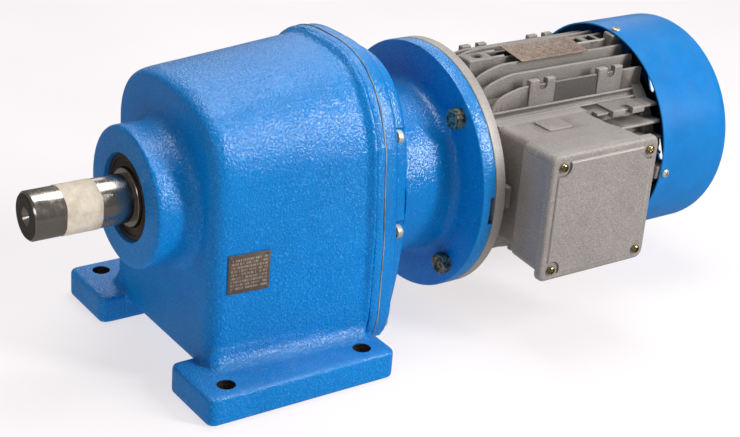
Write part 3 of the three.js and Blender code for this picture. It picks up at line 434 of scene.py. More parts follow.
def enamel(name, hammered=1.0, rough=0.3, holes=False, gloss=0.40, tone=1.0):
    m, nt, bs = tree(name)
    g = G(nt)
    big = g.noise(9.0, 3.0, 0.55)
    mid = g.noise(60.0, 3.0, 0.6)
    cells = g.noise(500.0, 1.6, 0.5, distort=0.3)
    fine = g.noise(1100.0, 2.0, 0.6)
    col = g.mix(g.ramp(big, 0.35, 0.65), (0.0002, 0.200 * tone, 0.590 * tone), (0.0003, 0.236 * tone, 0.680 * tone))
    col = g.mix(g.ramp(mid, 0.45, 0.75, 0.0, 0.22), col, (0.001, 0.265, 0.730))
    # painted shade darkens the hollows of the hammered skin and painted sparkle lightens its crests
    col = g.mix(g.ramp(cells, 0.50, 0.32, 0.0, 0.40 * min(1.0, hammered)), col, (0.0002, 0.112, 0.420))
    col = g.mix(g.ramp(cells, 0.58, 0.72, 0.0, 0.45 * min(1.0, hammered)), col, (0.045, 0.400, 0.860))
    # painted highlight: convex edges are lightened
    edge = g.ramp(g.point(), 0.53, 0.62, 0.0, 0.35)
    col = g.mix(edge, col, (0.030, 0.340, 0.760))
    # painted shade: concave corners are darkened
    corner_shade = g.ramp(g.point(), 0.475, 0.40, 0.0, 0.55)
    col = g.mix(corner_shade, col, (0.0006, 0.085, 0.300))
    # painted sheen: faces that look up are mixed towards a pale blue-grey in patches
    upward_sheen = g.math("MULTIPLY", g.ramp(g.normal_z(), 0.60, 1.0, 0.0, 0.09), g.ramp(g.noise(28.0, 4.0, 0.65), 0.4, 0.7, 0.4, 1.0))
    col = g.mix(upward_sheen, col, (0.42, 0.50, 0.60))
    rough_v = g.ramp(g.noise(55.0, 3.0, 0.6), 0.3, 0.7, rough - 0.04, rough + 0.06)
    metal = None
    if holes:
        # bare drilled metal inside the foot bolt holes, painted dark as well for the shade down in the holes
        p = g.xyz()
        dx = g.math("SUBTRACT", g.math("ABSOLUTE", p[0]), 0.0725)
        dy = g.math("SUBTRACT", g.math("ABSOLUTE", p[1]), 0.125)
        r = g.math("SQRT", g.math("ADD", g.math("MULTIPLY", dx, dx), g.math("MULTIPLY", dy, dy)))
        inside = g.math("MULTIPLY", g.math("LESS_THAN", r, 0.00905), g.math("LESS_THAN", p[2], 0.0268))
        col = g.mix(inside, col, g.mix(g.ramp(g.noise(300.0, 3.0, 0.6), 0.4, 0.6), (0.050, 0.038, 0.029), (0.170, 0.125, 0.090)))
        metal = g.math("MULTIPLY", inside, 0.7)
    g.put(bs.inputs["Base Color"], col)
    if metal is not None:
        g.put(bs.inputs["Metallic"], metal)
    g.put(bs.inputs["Roughness"], rough_v)
    bs.inputs["Specular IOR Level"].default_value = gloss
    n = g.bump(cells, 0.00106 * hammered, 1.0)
    n = g.bump(fine, 0.00009 * hammered, 0.8, n)
    n = g.bump(g.noise(48.0, 2.0, 0.5), 0.0012 * min(hammered, 0.6), 0.5, n)
    g.put(bs.inputs["Normal"], n)
    return m


def cast_alu(name, tone=1.0, grain=1.0):
    m, nt, bs = tree(name)
    g = G(nt)
    a = tuple(c * tone for c in srgb(160, 154, 149))
    b = tuple(c * tone for c in srgb(139, 133, 128))
    col = g.mix(g.ramp(g.noise(26.0, 4.0, 0.6), 0.30, 0.75, 0.15, 0.75), a, b)
    speck = g.ramp(g.noise(860.0, 2.0, 0.7), 0.48, 0.66, 0.0, 0.60)
    col = g.mix(speck, col, tuple(c * tone for c in srgb(108, 102, 97)))
    # painted glints: pale specks in the base colour stand in for sparkle
    glint = g.ramp(g.noise(940.0, 2.0, 0.7), 0.56, 0.70, 0.0, 0.48)
    col = g.mix(glint, col, tuple(c * tone for c in srgb(212, 206, 200)))
    # painted highlight on convex edges and painted shade in concave corners
    col = g.mix(g.ramp(g.point(), 0.53, 0.62, 0.0, 0.55), col, tuple(c * tone for c in srgb(205, 200, 194)))
    col = g.mix(g.ramp(g.point(), 0.485, 0.42, 0.0, 0.80), col, tuple(c * tone for c in srgb(66, 62, 60)))
    g.put(bs.inputs["Base Color"], col)
    bs.inputs["Metallic"].default_value = 0.25
    g.put(bs.inputs["Roughness"], g.ramp(g.noise(70.0, 3.0, 0.6), 0.3, 0.7, 0.46, 0.62))
    n = g.bump(g.noise(560.0, 3.0, 0.7), 0.00042 * grain, 0.9)
    n = g.bump(g.noise(75.0, 2.0, 0.5), 0.0004 * grain, 0.5, n)
    g.put(bs.inputs["Normal"], n)
    return m


def machined(name, base, rough=0.25, axis_x=True, stain=0.3, rings=1.0, end=None):
    """Turned or ground steel: fine marks round the X axis, oil stains, a dark patina in the corners."""
    m, nt, bs = tree(name)
    g = G(nt)
    vec = g.map((1.0, 0.02, 0.02)) if axis_x else g.map((0.02, 1.0, 0.02))
    marks = g.noise(2600.0, 3.0, 0.7, vec=vec)
    col = g.mix(g.ramp(g.noise(38.0, 4.0, 0.65), 0.38, 0.7, 0.0, stain), base, tuple(c * 0.42 for c in base))
    col = g.mix(g.ramp(marks, 0.35, 0.7, 0.0, 0.25), col, tuple(min(1.0, c * 1.35) for c in base))
    col = g.mix(g.ramp(g.point(), 0.47, 0.40, 0.0, 0.7), col, (0.03, 0.026, 0.022))
    if end is not None:
        # preservative and rust on the sawn end face and in its centre hole
        face = g.math("LESS_THAN", g.xyz()[0], end)
        col = g.mix(face, col, g.mix(g.ramp(g.noise(260.0, 4.0, 0.6), 0.35, 0.65), (0.016, 0.013, 0.011), (0.050, 0.040, 0.032)))
        g.put(bs.inputs["Metallic"], g.math("SUBTRACT", 1.0, g.math("MULTIPLY", face, 0.45)))
    else:
        bs.inputs["Metallic"].default_value = 1.0
    g.put(bs.inputs["Base Color"], col)
    g.put(bs.inputs["Roughness"], g.math("ADD", g.ramp(g.noise(120.0, 3.0, 0.6), 0.3, 0.7, rough - 0.05, rough + 0.10), g.ramp(marks, 0.3, 0.7, -0.03, 0.05)))
    bs.inputs["Anisotropic"].default_value = 0.4
    g.put(bs.inputs["Normal"], g.bump(marks, 0.00002 * rings, 0.6))
    return m


def plated(name, a, b, rough=0.32, metallic=0.9, blotch=60.0):
    m, nt, bs = tree(name)
    g = G(nt)
    col = g.mix(g.ramp(g.noise(blotch, 3.0, 0.6, distort=0.6), 0.38, 0.62), a, b)
    # painted shade: concave corners are darkened
    col = g.mix(g.ramp(g.point(), 0.47, 0.40, 0.0, 0.7), col, tuple(c * 0.25 for c in b))
    g.put(bs.inputs["Base Color"], col)
    bs.inputs["Metallic"].default_value = metallic
    g.put(bs.inputs["Roughness"], g.ramp(g.noise(240.0, 3.0, 0.6), 0.3, 0.7, rough - 0.07, rough + 0.12))
    g.put(bs.inputs["Normal"], g.bump(g.noise(900.0, 2.0, 0.6), 0.00005, 0.6))
    return m


def dull(name, a, b, rough=0.6, bump=0.0001, scale=300.0, metallic=0.0, blotch=30.0):
    m, nt, bs = tree(name)
    g = G(nt)
    col = g.mix(g.ramp(g.noise(blotch, 4.0, 0.6), 0.35, 0.65), a, b)
    g.put(bs.inputs["Base Color"], col)
    bs.inputs["Metallic"].default_value = metallic
    g.put(bs.inputs["Roughness"], g.ramp(g.noise(scale * 0.4, 3.0, 0.6), 0.3, 0.7, rough - 0.1, min(0.95, rough + 0.12)))
    g.put(bs.inputs["Normal"], g.bump(g.noise(scale, 3.0, 0.6), bump, 0.8))
    return m


M_ENAMEL = enamel("blue_hammered_enamel", 1.0, 0.10, holes=True, gloss=0.50, tone=0.96)
M_COVER = enamel("blue_cover_enamel", 0.72, 0.09, gloss=0.56, tone=0.86)
M_COWL = enamel("blue_sheet_enamel", 0.12, 0.36, gloss=0.26, tone=0.76)
M_ALU = cast_alu("cast_aluminium_grey", 0.85, 1.3)
M_ALU_FL = cast_alu("cast_aluminium_flange", 1.16, 0.8)
M_BOX = cast_alu("cast_aluminium_box", 1.08, 1.6)
M_SHAFT = machined("ground_shaft_steel", srgb(190, 182, 172), 0.19, stain=0.16, end=-0.20515)
M_GEAR = machined("gear_steel", srgb(150, 148, 145), 0.3, stain=0.2)
M_KEY = machined("key_steel", srgb(110, 106, 102), 0.35, stain=0.4)
M_BRG = machined("bearing_steel", srgb(190, 190, 190), 0.14, stain=0.1)
M_ZINC = plated("zinc_plate", srgb(240, 234, 216), srgb(208, 201, 180), 0.34, 0.6)
M_YZN = plated("yellow_passivated", srgb(200, 186, 146), srgb(60, 57, 50), 0.2, 0.85, 240.0)
M_BRASS = plated("brass_screw", srgb(202, 182, 130), srgb(150, 134, 96), 0.24, 1.0, 160.0)
M_DARK = plated("black_oxide", srgb(62, 60, 60), srgb(38, 37, 38), 0.4, 0.9)
M_SEAL = dull("oily_seal_rubber", srgb(58, 42, 32), srgb(26, 20, 16), 0.40, 0.00012, 500.0)
M_SEALANT = dull("jointing_compound", srgb(222, 216, 202), srgb(120, 118, 112), 0.55, 0.0002, 420.0)
M_IRON = dull("cast_iron", srgb(96, 92, 88), srgb(72, 69, 66), 0.6, 0.0002, 380.0, 0.6)
M_LAM = dull("laminations", srgb(120, 118, 116), srgb(96, 94, 92), 0.5, 0.0001, 900.0, 0.8)
M_WIRE = dull("varnished_winding", srgb(156, 84, 46), srgb(110, 54, 30), 0.35, 0.0003, 700.0)
M_BOARD = dull("terminal_board_plastic", srgb(92, 60, 44), srgb(70, 44, 34), 0.6)
M_BLACK = dull("black_plastic", srgb(44, 45, 47), srgb(30, 31, 32), 0.5, 0.00008, 600.0)


def tape_material():
    m, nt, bs = tree("masking_tape")
    g = G(nt)
    crepe = g.noise(900.0, 3.0, 0.7, vec=g.map((1.0, 0.25, 0.25)))
    col = g.mix(g.ramp(g.noise(120.0, 4.0, 0.6), 0.35, 0.7), srgb(220, 209, 192), srgb(196, 182, 160))
    col = g.mix(g.ramp(crepe, 0.55, 0.75, 0.0, 0.3), col, srgb(168, 153, 130))
    g.put(bs.inputs["Base Color"], col)
    bs.inputs["Roughness"].default_value = 0.82
    bs.inputs["Subsurface Weight"].default_value = 0.0
    g.put(bs.inputs["Normal"], g.bump(crepe, 0.00025, 0.9))
    return m


M_TAPE = tape_material()


def plate_material(name, ground, ink, u, v, u0, u1, v0, v1, rows=9):
    """A printed rating plate with ruled lines and blank cells and no lettering. u and v pick the axes."""
    m, nt, bs = tree(name)
    g = G(nt)
    p = g.xyz()
    fu = g.ramp(p[u], u0 * S, u1 * S)
    fv = g.ramp(p[v], v0 * S, v1 * S)
    # ruled rows
    row = g.math("FRACT", g.math("MULTIPLY", fv, float(rows)))
    rule = g.math("LESS_THAN", g.math("ABSOLUTE", g.math("SUBTRACT", row, 0.5)), 0.30)
    # broken bars along each row stand for filled-in fields
    which = g.math("FLOOR", g.math("MULTIPLY", fv, float(rows)))
    comb = nt.nodes.new("ShaderNodeCombineXYZ")
    g.put(comb.inputs[0], g.math("MULTIPLY", fu, 44.0))
    g.put(comb.inputs[1], g.math("MULTIPLY", which, 3.7))
    n = nt.nodes.new("ShaderNodeTexNoise")
    n.inputs["Scale"].default_value = 1.0
    n.inputs["Detail"].default_value = 1.0
    nt.links.new(comb.outputs[0], n.inputs["Vector"])
    bars = g.math("GREATER_THAN", n.outputs[0], 0.49)
    inside = g.math("MULTIPLY", g.math("LESS_THAN", g.math("ABSOLUTE", g.math("SUBTRACT", fu, 0.5)), 0.44), g.math("LESS_THAN", g.math("ABSOLUTE", g.math("SUBTRACT", fv, 0.5)), 0.42))
    mark = g.math("MULTIPLY", g.math("MULTIPLY", rule, bars), inside)
    col = g.mix(g.ramp(g.noise(160.0, 4.0, 0.6), 0.35, 0.68), ground, tuple(c * 0.72 for c in ground))
    col = g.mix(g.math("MULTIPLY", mark, 0.8), col, ink)
    g.put(bs.inputs["Base Color"], col)
    bs.inputs["Metallic"].default_value = 0.35
    g.put(bs.inputs["Roughness"], g.ramp(g.noise(300.0, 3.0, 0.6), 0.3, 0.7, 0.36, 0.56))
    g.put(bs.inputs["Normal"], g.bump(g.math("ADD", g.math("MULTIPLY", mark, 0.5), g.noise(700.0, 2.0, 0.6)), 0.00006, 0.8))
    return m


# ------------------------------------------------------------------ camera
AZ, EL, ROLL, F_PX = rad(-36.3), rad(24.6), rad(4.6), 1625.9
back = Vector((math.sin(AZ) * math.cos(EL), -math.cos(AZ) * math.cos(EL), math.sin(EL)))
fw = -back
right = fw.cross(Vector((0, 0, 1))).normalized()
up = right.cross(fw)
rr = right * math.cos(ROLL) + up * math.sin(ROLL)
uu = -right * math.sin(ROLL) + up * math.cos(ROLL)
cam_data = bpy.data.cameras.new("camera")
cam = link(bpy.data.objects.new("camera", cam_data))
cam.matrix_world = Matrix(((rr.x, uu.x, back.x, -0.71505), (rr.y, uu.y, back.y, -1.1939), (rr.z, uu.z, back.z, 0.7682), (0, 0, 0, 1)))
cam_data.sensor_width = 36.0
cam_data.lens = F_PX * 36.0 / 740.0
cam_data.clip_start = 0.01
scene.camera = cam

COVER_SCREWS = [(-88.6, 218), (-99.5, 127), (-88, 27), (88, 27), (99.5, 127), (88.6, 218)]
FLANGE_BOLTS = [(107.5 * math.cos(rad(d)), Z_IN + 107.5 * math.sin(rad(d))) for d in (45, 135, 225, 315)]
COWL_SCREWS = [96, 186, 276, 366]
BOX_SCREWS = [(251, 197.5), (251, 91.5), (360, 197.5), (360, 91.5)]


# ------------------------------------------------------------------ gear case
def solid(o, tools, op):
    """Boolean with the manifold solver; tools may overlap each other."""
    for t in tools:
        m = o.modifiers.new("b", "BOOLEAN")
        m.operation = op
        m.solver = "MANIFOLD"
        m.object = t
        apply(o)
        drop(t)
    return o


def minus(o, *tools):
    return solid(o, tools, "DIFFERENCE")


def plus(o, *tools):
    return solid(o, tools, "UNION")


def bar(x0, x1, y0, y1, z0, z1, r, round_top=2.4, n=8):
    """Upright block with rounded plan corners and a rounded top edge."""
    secs = []
    for z, i in [(z0, 0.4), (z0 + 0.5, 0.0)] + [(z1 - round_top + round_top * math.sin(rad(a)), round_top * (1 - math.cos(rad(a)))) for a in (0, 22, 45, 68, 90)]:
        secs.append([(x, y, z) for x, y in round_rect(x0 + i, x1 - i, y0 + i, y1 - i, max(1.0, r - i), n)])
    return skin(secs, "bar")


def build_case():
    secs = []
    for i in range(11):
        a = rad(90 * (1 - i / 10))
        x, inset = -57 - 15 * math.sin(a), 13.5 * (1 - math.cos(a))
        secs.append(yz(x, body_outline(x, inset, 0.35 * inset)))
    for x in (-20, 20, 60, 90):
        secs.append(yz(x, body_outline(x)))
    parts = [skin(secs, "body")]
    prof = [(-60, 0), (-60, 80), (-71.6, 80)] + arc(-84, 78.5, 12.5, -2, -90, 10) + [(-100, 66)] + arc(-108.7, 63.2, 2.8, 90, 180, 6) + [(-111.5, 0)]
    parts.append(lathe(prof, 0, Z_OUT, 144, "boss"))
    for s in (-1, 1):
        y0, y1 = sorted((s * 68, s * 144.5))
        parts.append(bar(-99.5, 99.5, y0, y1, 0, 27.5, 9, 3.2))
        def cove(x, out, r=17.0):
            pts = [(s * (out - r * math.sin(rad(90 * i / 10))), 27.1 + r - r * math.cos(rad(90 * i / 10))) for i in range(11)]
            return yz(x, pts + [(s * 80, 27.1 + r), (s * 80, 21.5), (s * (out - 1), 21.5)])
        parts.append(skin([cove(-73, 100, 8), cove(-71, 106, 13), cove(-66, 110.5, 16), cove(-58, 112), cove(-20, 115), cove(88, 121.5)], "cove"))
    # low web down the front wall under the boss, and the lip's sloping front
    parts.append(skin([yz(84.5, body_outline(84.5, -0.2)), yz(89.5, lip_outline(1.2)), yz(91.0, lip_outline(0.0)), yz(96, lip_outline(0.0))], "ramp"))
    parts.append(block(-12, 12, -72, 72, 0, 40))
    o = merge(parts, "gear_case")
    voxel(o, 1.75, 7, 0.5)
    # lip with its small cast radii
    lip = skin([yz(x, lip_outline(i)) for x, i in ((92, 1.0), (93.5, -0.05), (99.9, -0.05), (LIP_X1, 0.45))], "lip")
    plus(o, lip)
    inner = lambda x, W, rc, R, zt: yz(x, arch(W, rc, R, zt, [(W, 118), (W, 60), (W - 14, 36)]))
    minus(o, skin([inner(-60, 82.5, 52, 180, 262), inner(LIP_X1 + 5, 84, 53, 190, 266)], "chamber"))
    plus(o, cyl("x", -66, -50, 33, 0, Z_LAY), cyl("x", -70, -58, 53, 0, Z_OUT, 64), block(-14, 1.7, 71, 90, 142, 188), block(-14, 1.7, -90, -71, 142, 188))
    minus(o, lathe([(-113, 0), (-113, 42.3), (-111.4, 41.4), (-109.8, 40.15), (-95.7, 40.15), (-95.7, 36), (-93.6, 36), (-93.6, 45.15), (-57, 45.15), (-57, 0)], 0, Z_OUT, 96, "bore"))
    minus(o, cyl("x", -67, -49, 26.15, 0, Z_LAY))
    for sx in (-1, 1):
        for sy in (-1, 1):
            minus(o, cyl("z", -1, 40, 8.75, sx * 72.5, sy * 125, 40))
    for y, z in COVER_SCREWS:
        minus(o, cyl("x", 90.5, LIP_X1 + 1, 4.3, y, z, 20))
    plus(o, cyl("y", 88, 101.5, 15, 26, 196, 40))
    minus(o, cyl("y", 80, 103, 9.3, 26, 196, 32))
    return clean(o)


finish(build_case(), "case_casting", M_ENAMEL, "root", ["gear_case"], sharp=38)

# jointing compound squeezed out between the case and its rear cover
inner_gasket = arch(82.8, 52, 188.8, 264.8, [(82.8, 118), (82.8, 62), (70, 38)])
bead = skin([yz(100.75, lip_outline(-0.2)), yz(100.85, lip_outline(-0.75)), yz(101.2, lip_outline(-0.75)), yz(101.3, lip_outline(-0.2))], "bead")
minus(bead, skin([yz(100, inner_gasket), yz(102, inner_gasket)], "inner"))
for y, z in COVER_SCREWS:
    minus(bead, cyl("x", 100, 102, 5.2, y, z, 20))
finish(bead, "joint_bead", M_SEALANT, "root", ["case_sealant"])


# ------------------------------------------------------------------ rear cover and adapter
def build_cover():
    o = skin([yz(x, lip_outline(i)) for x, i in ((COVER_X0, 0.4), (102.1, 0.0), (111.5, 0.1), (113.4, 0.55), (115.2, 1.5), (116.6, 2.7), (117.5, 3.9), (COVER_X1, 5.4))], "cover")
    hump = skin([yz(x, hump_outline(i)) for x, i in ((116, 12), (130, 12.4), (132.4, 13.0), (134.3, 14.4), (135.5, 16.2), (HUMP_X1, 18.2))], "hump")
    for y, z in COVER_SCREWS:
        minus(hump, lathe([(114, 0), (114, 9), (131, 9), (HUMP_X1 + 1, 10.5), (HUMP_X1 + 1, 0)], y, z, 48, "spot"))
    plus(o, hump)
    prof = [(103.6, 0), (103.6, 79), (134, 79), (135.6, 91.2)] + arc(143.2, 91.7, 7.7, 183, 270, 9) + [(160, 84), (188, 84)] + arc(191.8, 93.6, 9.6, 270, 358, 8)
    prof += [(FL_X0, 96), (FL_X0, FL_R - 2.0), (FL_X0 + 0.6, FL_R - 0.6), (FL_X0 + 2, FL_R), (FL_X1 - 0.9, FL_R), (FL_X1, FL_R - 0.9), (FL_X1, 0)]
    plus(o, lathe(prof, 0, Z_IN, 160, "neck"))
    minus(o, cyl("x", 112.1, FL_X1 + 1, 70, 0, Z_IN, 96), cyl("x", FL_X1 - 4.5, FL_X1 + 1, 90.3, 0, Z_IN, 96))
    plus(o, cyl("x", 106.6, 136, 47, 0, Z_IN, 64), cyl("x", 82, 107.6, 34, 0, Z_LAY, 64))
    minus(o, cyl("x", 95.6, 137, 28, 0, Z_IN, 64), cyl("x", 105, 137, 36.15, 0, Z_IN, 64), cyl("x", 80, 99.6, 26.15, 0, Z_LAY, 64))
    for y, z in COVER_SCREWS:
        minus(o, cyl("x", 100.6, 119, 4.6, y, z, 20))
    for y, z in FLANGE_BOLTS:
        minus(o, cyl("x", 200.5, 217.4, 7.2, y, z, 24))
    minus(o, block(FL_X1 - 6.5, FL_X1 + 1, -129, -114, 126, 154, 1.2))
    return clean(o)


finish(build_cover(), "cover_casting", M_COVER, "root", ["rear_cover"], sharp=32)


# ------------------------------------------------------------------ fasteners
def cap_head(x, y, z, r, h, name, mat, node, socket=True):
    prof = [(x, 0), (x, r - 0.4), (x + 0.4, r), (x + h - 2.2, r), (x + h - 1.0, r - 0.5), (x + h - 0.25, r - 1.5), (x + h, r - 2.6), (x + h, 0)]
    o = lathe(prof, y, z, 48, name)
    if socket:
        minus(o, cyl("x", x + h - 2.6, x + h + 1, 3.1, y, z, 6))
    plus(o, cyl("x", 91, x + 0.6, 3.9, y, z, 24))
    return finish(o, name, mat, "root", [node])


for k, (y, z) in enumerate(COVER_SCREWS):
    cap_head(118.3, y, z, 6.5, 6.7, f"cover_screw_head_{k + 1}", M_ZINC, f"cover_screw_{k + 1}")


def hex_head(x0, x1, r, y, z, deg, chamfer_at_low=True):
    """Hexagon prism whose corners are cut by a cone on the outer face."""
    ring = lambda x: [(x, y + r * math.cos(rad(60 * i + deg)), z + r * math.sin(rad(60 * i + deg))) for i in range(6)]
    o = skin([ring(x0), ring(x1)], "hex")
    if chamfer_at_low:
        prof = [(x0 - 0.01, 0), (x0 - 0.01, r * 0.82), (x0 + r * 0.14, r * 1.02), (x1 + 1, r * 1.02), (x1 + 1, 0)]
    else:
        prof = [(x0 - 1, 0), (x0 - 1, r * 1.02), (x1 - r * 0.14, r * 1.02), (x1 + 0.01, r * 0.82), (x1 + 0.01, 0)]
    return solid(o, [lathe(prof, y, z, 64, "cone")], "INTERSECT")


for k, (y, z) in enumerate(FLANGE_BOLTS):
    o = hex_head(192.2, 200.4, 10.9, y, z, 12 + 25 * k)
    plus(o, cyl("x", 200.0, 201.2, 10.0, y, z, 48), cyl("x", 201.0, 227.2, 6, y, z, 32))
    # shallow dished face
    minus(o, lathe([(191, 0), (191, 7.0), (192.25, 7.0), (192.8, 5.8), (192.8, 0)], y, z, 48, "dish"))
    finish(o, f"flange_bolt_head_{k + 1}", M_YZN, "root", [f"flange_bolt_{k + 1}"], sharp=25)


def cross_screw(axis_len, r, h, name, mat, node, place, rot=20.0):
    """Pan head with a cross recess, built about +X from 0, then placed by a matrix."""
    prof = [(-axis_len, 0), (-axis_len, r * 0.55), (0, r * 0.55), (0, r * 0.97), (0.35, r)] + [(h * math.sin(rad(a)) * 0.85 + h * 0.15, r * math.cos(rad(a)) ** 0.6) for a in (12, 25, 40, 55, 68, 80)] + [(h, 0)]
    o = lathe(prof, 0, 0, 40, name)
    w = r * 0.20
    a = block(h - 1.3, h + 1, -r * 0.62, r * 0.62, -w, w)
    b = block(h - 1.3, h + 1, -w, w, -r * 0.62, r * 0.62)
    for t in (a, b):
        t.data.transform(Matrix.Rotation(rad(rot), 4, "X"))
    minus(o, a, b)
    o.data.transform(place)
    return finish(o, name, mat, "root", [node], sharp=30)


def T(x, y, z):
    return Matrix.Translation((x * S, y * S, z * S))


for k, d in enumerate(COWL_SCREWS):
    place = T(0, 0, Z_IN) @ Matrix.Rotation(rad(d), 4, "X") @ T(453, COWL_R + 0.3, 0) @ Matrix.Rotation(rad(90), 4, "Z")
    cross_screw(15, 4.6, 2.6, f"cowl_fixing_{k + 1}", M_ZINC, f"cowl_screw_{k + 1}", place, 15 + 31 * k)
for k, (x, z) in enumerate(BOX_SCREWS):
    place = T(x, -174.9, z) @ Matrix.Rotation(rad(-90), 4, "Z")
    cross_screw(25, 4.4, 3.2, f"lid_fixing_{k + 1}", M_BRASS, f"box_screw_{k + 1}", place, 25 + 37 * k)

# hexagon oil plug on the far wall
plug = cyl("x", -18, 0.2, 8.9, 0, 0, 40)
plus(plug, cyl("x", 0.0, 1.9, 13.5, 0, 0, 48), hex_head(1.8, 11.2, 11, 0, 0, 10, False))
plug.data.transform(T(26, 101.8, 196) @ Matrix.Rotation(rad(90), 4, "Z"))
finish(plug, "oil_plug_hex", M_DARK, "root", ["oil_plug"], sharp=25)


# ------------------------------------------------------------------ rating plates
def rivet(x, y, z, r, axis):
    o = lathe([(0, 0), (0, r), (0.25, r * 0.93), (0.55, r * 0.6), (0.7, 0)], 0, 0, 20, "rivet")
    o.data.transform(T(x, y, z) @ (Matrix.Rotation(rad(-90), 4, "Z") if axis == "-y" else Matrix.Rotation(rad(-90), 4, "Y")))
    return o


wall = lambda x: 93.4 + (x + 57) * 9.6 / 147
sec = lambda x: [(x, -wall(x) - 1.2, 98), (x, -wall(x) - 0.35, 98), (x, -wall(x) - 0.35, 136), (x, -wall(x) - 1.2, 136)]
plate = skin([sec(-56.8), sec(-36), sec(-15.5)], "plate")
bevel(plate, 0.25, 2)
plate = merge([plate] + [rivet(x, -wall(x) - 1.1, z, 1.5, "-y") for x in (-54.4, -17.9) for z in (100.4, 133.6)])
finish(plate, "case_rating_plate", plate_material("case_plate_print", srgb(112, 96, 84), srgb(176, 160, 144), 0, 2, -56.8, -15.5, 98, 136, 11), "root", ["case_nameplate"])

mp = block(-44, 44, -18.5, 18.5, -0.5, 0.5, 0.2, 2)
mp = merge([mp] + [rivet(x, y, 0.45, 1.8, "z") for x in (-40.5, 40.5) for y in (-15, 15)])
mp.data.transform(T(356, -12, 247.6) @ Matrix.Rotation(rad(7), 4, "X"))
finish(mp, "motor_rating_plate", plate_material("motor_plate_print", srgb(158, 139, 125), srgb(92, 78, 70), 0, 1, 312, 400, -30.4, 6.4, 13), "root", ["motor_nameplate"])

# ------------------------------------------------------------------ output shaft, key seat and seal
shaft_prof = [(TIP + 18, 0), (TIP + 18, 4.0), (TIP + 5.5, 4.0), (TIP + 0.6, 8.0), (TIP, 8.6), (TIP, 20.4), (TIP + 0.3, 20.7), (TIP + 1.9, 22.3), (TIP + 2.4, 22.5), (-110.5, 22.5), (-110.5, 26.5), (-110.0, 27),
              (-104.6, 27), (-104.2, 25.6), (-101.8, 25.6), (-101.4, 27), (-94.4, 27), (-94.4, 24.85), (-70.5, 24.85), (-70.5, 31), (-50, 31), (-50, 27.5), (-7.5, 27.5), (-7.5, 24), (1.6, 24), (1.6, 19.85), (22.4, 19.85), (22.4, 0)]
shaft = lathe(shaft_prof, 0, Z_OUT, 144, "shaft")
seat = [(-119 - 7 + 7.2 * math.cos(rad(a)), Z_OUT + 7.2 * math.sin(rad(a))) for a in range(-90, 91, 12)] + [(-199 + 7 + 7.2 * math.cos(rad(a)), Z_OUT + 7.2 * math.sin(rad(a))) for a in range(90, 271, 12)]
minus(shaft, skin([[(x, 16.8, z) for x, z in seat], [(x, 24, z) for x, z in seat]], "seat"))
finish(shaft, "shaft_turned", M_SHAFT, "output_shaft_body", ["output_shaft"], sharp=25)

seal_prof = [(-107.5, 39.85), (-107.5, 36.4), (-107.0, 35.9), (-106.2, 35.6), (-106.0, 34.0), (-106.4, 31.5), (-107.2, 30.2), (-107.5, 29.4), (-107.2, 28.2), (-106.3, 27.6), (-104.8, 28.2), (-104.4, 32), (-100.4, 32), (-99.2, 27.6), (-97.3, 27.6), (-97.3, 39.85)]
finish(lathe(seal_prof, 0, Z_OUT, 144, "seal"), "shaft_seal", M_SEAL, "root", ["output_oil_seal"], sharp=40)


def hull(pts):
    pts = sorted(pts)
    def half(seq):
        out = []
        for p in seq:
            while len(out) > 1 and (out[-1][0] - out[-2][0]) * (p[1] - out[-2][1]) - (out[-1][1] - out[-2][1]) * (p[0] - out[-2][0]) <= 0:
                out.pop()
            out.append(p)
        return out[:-1]
    return half(pts) + half(pts[::-1])


def tape_outline(r, key_y, key_z, n=160):
    """Circle stretched over the key, sampled at equal angles."""
    h = hull([(r * math.cos(2 * math.pi * i / 360), r * math.sin(2 * math.pi * i / 360)) for i in range(360)] + [(key_y, key_z), (key_y, -key_z)])
    out = []
    for i in range(n):
        t = 2 * math.pi * i / n
        c, s = math.cos(t), math.sin(t)
        best = r
        for (ax, ay), (bx, by) in zip(h, h[1:] + h[:1]):
            den = c * (by - ay) - s * (bx - ax)
            if abs(den) > 1e-12:
                q = (ax * (by - ay) - ay * (bx - ax)) / den
                u = (c * q - ax) * (bx - ax) + (s * q - ay) * (by - ay)
                L = (bx - ax) ** 2 + (by - ay) ** 2
                if q > 0 and -1e-9 <= u <= L + 1e-9:
                    best = max(best, q)
        out.append((best * c, Z_OUT + best * s))
    return out


inner_t = tape_outline(22.54, 26.24, 7.05)
rings = []
for x, grow, lift in ((-176, 0.0, 0), (-176, 0.42, 1), (-171, 0.55, 1), (-160, 0.50, 1), (-149, 0.55, 1), (-142, 0.42, 1), (-142, 0.0, 0)):
    outl = tape_outline(22.54 + grow, 26.24 + grow, 7.05 + grow * 0.6)
    ring = []
    for i, (y, z) in enumerate(outl):
        t = 2 * math.pi * i / len(outl)
        wav = 0.45 * math.sin(3 * t + 0.6) + 0.25 * math.sin(7 * t + 2.0) if abs(x + 159) > 16 else 0.0
        ring.append((x + wav, y, z))
    rings.append(ring)
finish(skin(rings, "tape", caps=False, closed=True), "paper_tape_band", M_TAPE, "output_shaft_body", sharp=60)


# ------------------------------------------------------------------ motor
mf_prof = [(MF_X0 - 3.6, 22), (MF_X0 - 3.6, 90.1), (MF_X0, 90.1), (MF_X0, FL_R - 0.7), (MF_X0 + 0.7, FL_R), (MF_X1 - 1.8, FL_R), (MF_X1 - 0.6, FL_R - 0.6), (MF_X1, FL_R - 1.8), (MF_X1, 101.5)] + arc(MF_X1 + 5.0, 101.9, 4.9, 180, 270, 6)[1:]
mf_prof += [(240.7, 97), (240.7, 74.95), (246, 74.95), (246, 68), (236, 68), (236, 39), (257, 39), (257, 31.15), (240.3, 31.15), (240.3, 22)]
mflange = lathe(mf_prof, 0, Z_IN, 160, "motor_flange")
for y, z in FLANGE_BOLTS:
    minus(mflange, cyl("x", 215.7, 229.4, 6.3, y, z, 24))
finish(mflange, "motor_end_flange", M_ALU_FL, "root", ["motor_flange_shield"], sharp=32)


